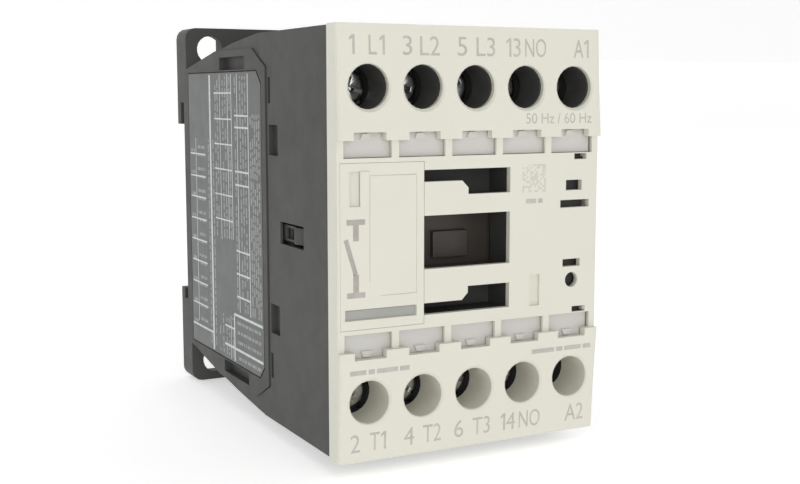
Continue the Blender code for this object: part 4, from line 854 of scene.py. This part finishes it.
upright_text = [(-43.5 + i * 0.95, -15.6, 18.3) for i in range(5)]
upright_text += [(y, -15.5, 24.6) for y in (-37.3, -36.1, -34.9, -32.4)]
upright_text += [(y, -3.6, 24.6) for y in (-29.6, -27.4, -26.1, -23.3, -22.2)]
upright_text += [(y, -24.5, -17.4) for y in (-29.6, -27.6, -26.4, -24.6, -22.9)]
upright_text += [(y, -24.0, 13.5) for y in (-20.6, -18.0)]
for y, z0, z1 in upright_text:
    z = z0
    while z < z1:
        length = word_order.uniform(0.5, 2.0)
        end = min(z + length, z1)
        if end - z > SHORTEST_WORD and word_order.random() > 0.1:
            printed_bar(words, (y - 0.27, y + 0.27), (z, end), lift=0.006)
        z += length + word_order.uniform(0.3, 0.55)
row_text = [(-43.2, -31.8, z) for z in (-17.9, -19.6, -21.3, -24.1)]
for row in range(9):
    z = 11.9 - row * 4.05
    row_text += [(-15.8, -11.6, z), (-15.8, -11.6, z - 1.4), (-10.2, -7.9, z - 0.7)]
for y0, y1, z in row_text:
    y = y0
    while y < y1:
        length = word_order.uniform(0.5, 2.2)
        end = min(y + length, y1)
        if end - y > SHORTEST_WORD:
            printed_bar(words, (y, end), (z - 0.28, z + 0.28), lift=0.006)
        y += length + word_order.uniform(0.3, 0.5)
label_faint = printed_ink("label_faint", (0.27, 0.29, 0.28), 0.42, 0.7)
made_piece("label_words", words, label_faint, "housing", "label_film")

# Studio: a pale sweep, a large soft light above the front, one beside the camera, a weak fill at
# the left and a rim at the right. None of this belongs to the contactor.

studio_white, tree, shader, place = new_finish("studio_white", (0.86, 0.86, 0.86), 0.9)
shader.inputs["Emission Color"].default_value = (1.0, 1.0, 1.0, 1.0)
shader.inputs["Emission Strength"].default_value = 0.5
speckle = shade(tree, "TexNoise", {"Vector": place, "Scale": 30.0, "Detail": 2.0})
tone = blend_colours(tree, speckle.outputs[0], (0.85, 0.85, 0.85), (0.87, 0.87, 0.87))
tree.links.new(tone, shader.inputs["Base Color"])
FLOOR_GAP = 0.0002
floor_z = cad_box[0][2] - FLOOR_GAP
bm = bmesh.new()
profile = [(-3.0, 0.0), (1.2, 0.0), (1.7, 0.12), (2.0, 0.5), (2.1, 3.0)]
verts = [bm.verts.new((-4.0, y, floor_z + z)) for y, z in profile]
edges = [bm.edges.new(pair) for pair in zip(verts, verts[1:])]
swept = bmesh.ops.extrude_edge_only(bm, edges=edges)["geom"]
far_side = [v for v in swept if isinstance(v, bmesh.types.BMVert)]
bmesh.ops.translate(bm, verts=far_side, vec=(8.0, 0.0, 0.0))
mesh = bpy.data.meshes.new("sweep")
bm.to_mesh(mesh)
bm.free()
mesh.materials.append(studio_white)
sweep = bpy.data.objects.new("sweep", mesh)
bpy.context.scene.collection.objects.link(sweep)

# The world is dim where it lights the object and white where the camera sees it.
SKY_LIGHT = 0.38
SKY_SEEN = 1.0
world = bpy.data.worlds.new("studio")
world.use_nodes = True
sky = world.node_tree.nodes["Background"]
sky.inputs[0].default_value = (1.0, 1.0, 1.0, 1.0)
ray = world.node_tree.nodes.new("ShaderNodeLightPath")
level = world.node_tree.nodes.new("ShaderNodeMapRange")
level.inputs["To Min"].default_value = SKY_LIGHT
level.inputs["To Max"].default_value = SKY_SEEN
world.node_tree.links.new(ray.outputs["Is Camera Ray"], level.inputs["Value"])
world.node_tree.links.new(level.outputs[0], sky.inputs[1])
bpy.context.scene.world = world


def soft_light(name, place, aim, size, power):
    """A square soft box that faces a point."""
    lamp = bpy.data.lights.new(name, "AREA")
    lamp.shape = "SQUARE"
    lamp.size = size
    lamp.energy = power
    holder = bpy.data.objects.new(name, lamp)
    holder.location = place
    holder.rotation_euler = (Vector(aim) - Vector(place)).to_track_quat("-Z", "Y").to_euler()
    bpy.context.scene.collection.objects.link(holder)


soft_light("key", (-0.1, -0.7, 0.75), (0.0, -0.05, 0.0), 0.6, 1.35)
soft_light("front", (-0.32, -0.9, 0.12), (0.0, -0.05, 0.0), 0.5, 2.7)
soft_light("left_fill", (-0.9, -0.1, 0.35), (0.0, -0.03, 0.0), 0.6, 0.35)
soft_light("right_rim", (0.8, -0.2, 0.5), (0.0, -0.03, 0.0), 0.4, 1.0)

camera_data = bpy.data.cameras.new("camera")
camera_data.lens = 53.46
camera_data.sensor_width = 36.0
camera_data.clip_start = 0.005
camera = bpy.data.objects.new("camera", camera_data)
camera.location = (-0.0916, -0.2222, 0.0218)
camera.rotation_euler = (math.radians(82.853), 0.0, math.radians(-27.62))
bpy.context.scene.collection.objects.link(camera)
bpy.context.scene.camera = camera
bpy.context.scene.view_settings.view_transform = "Standard"
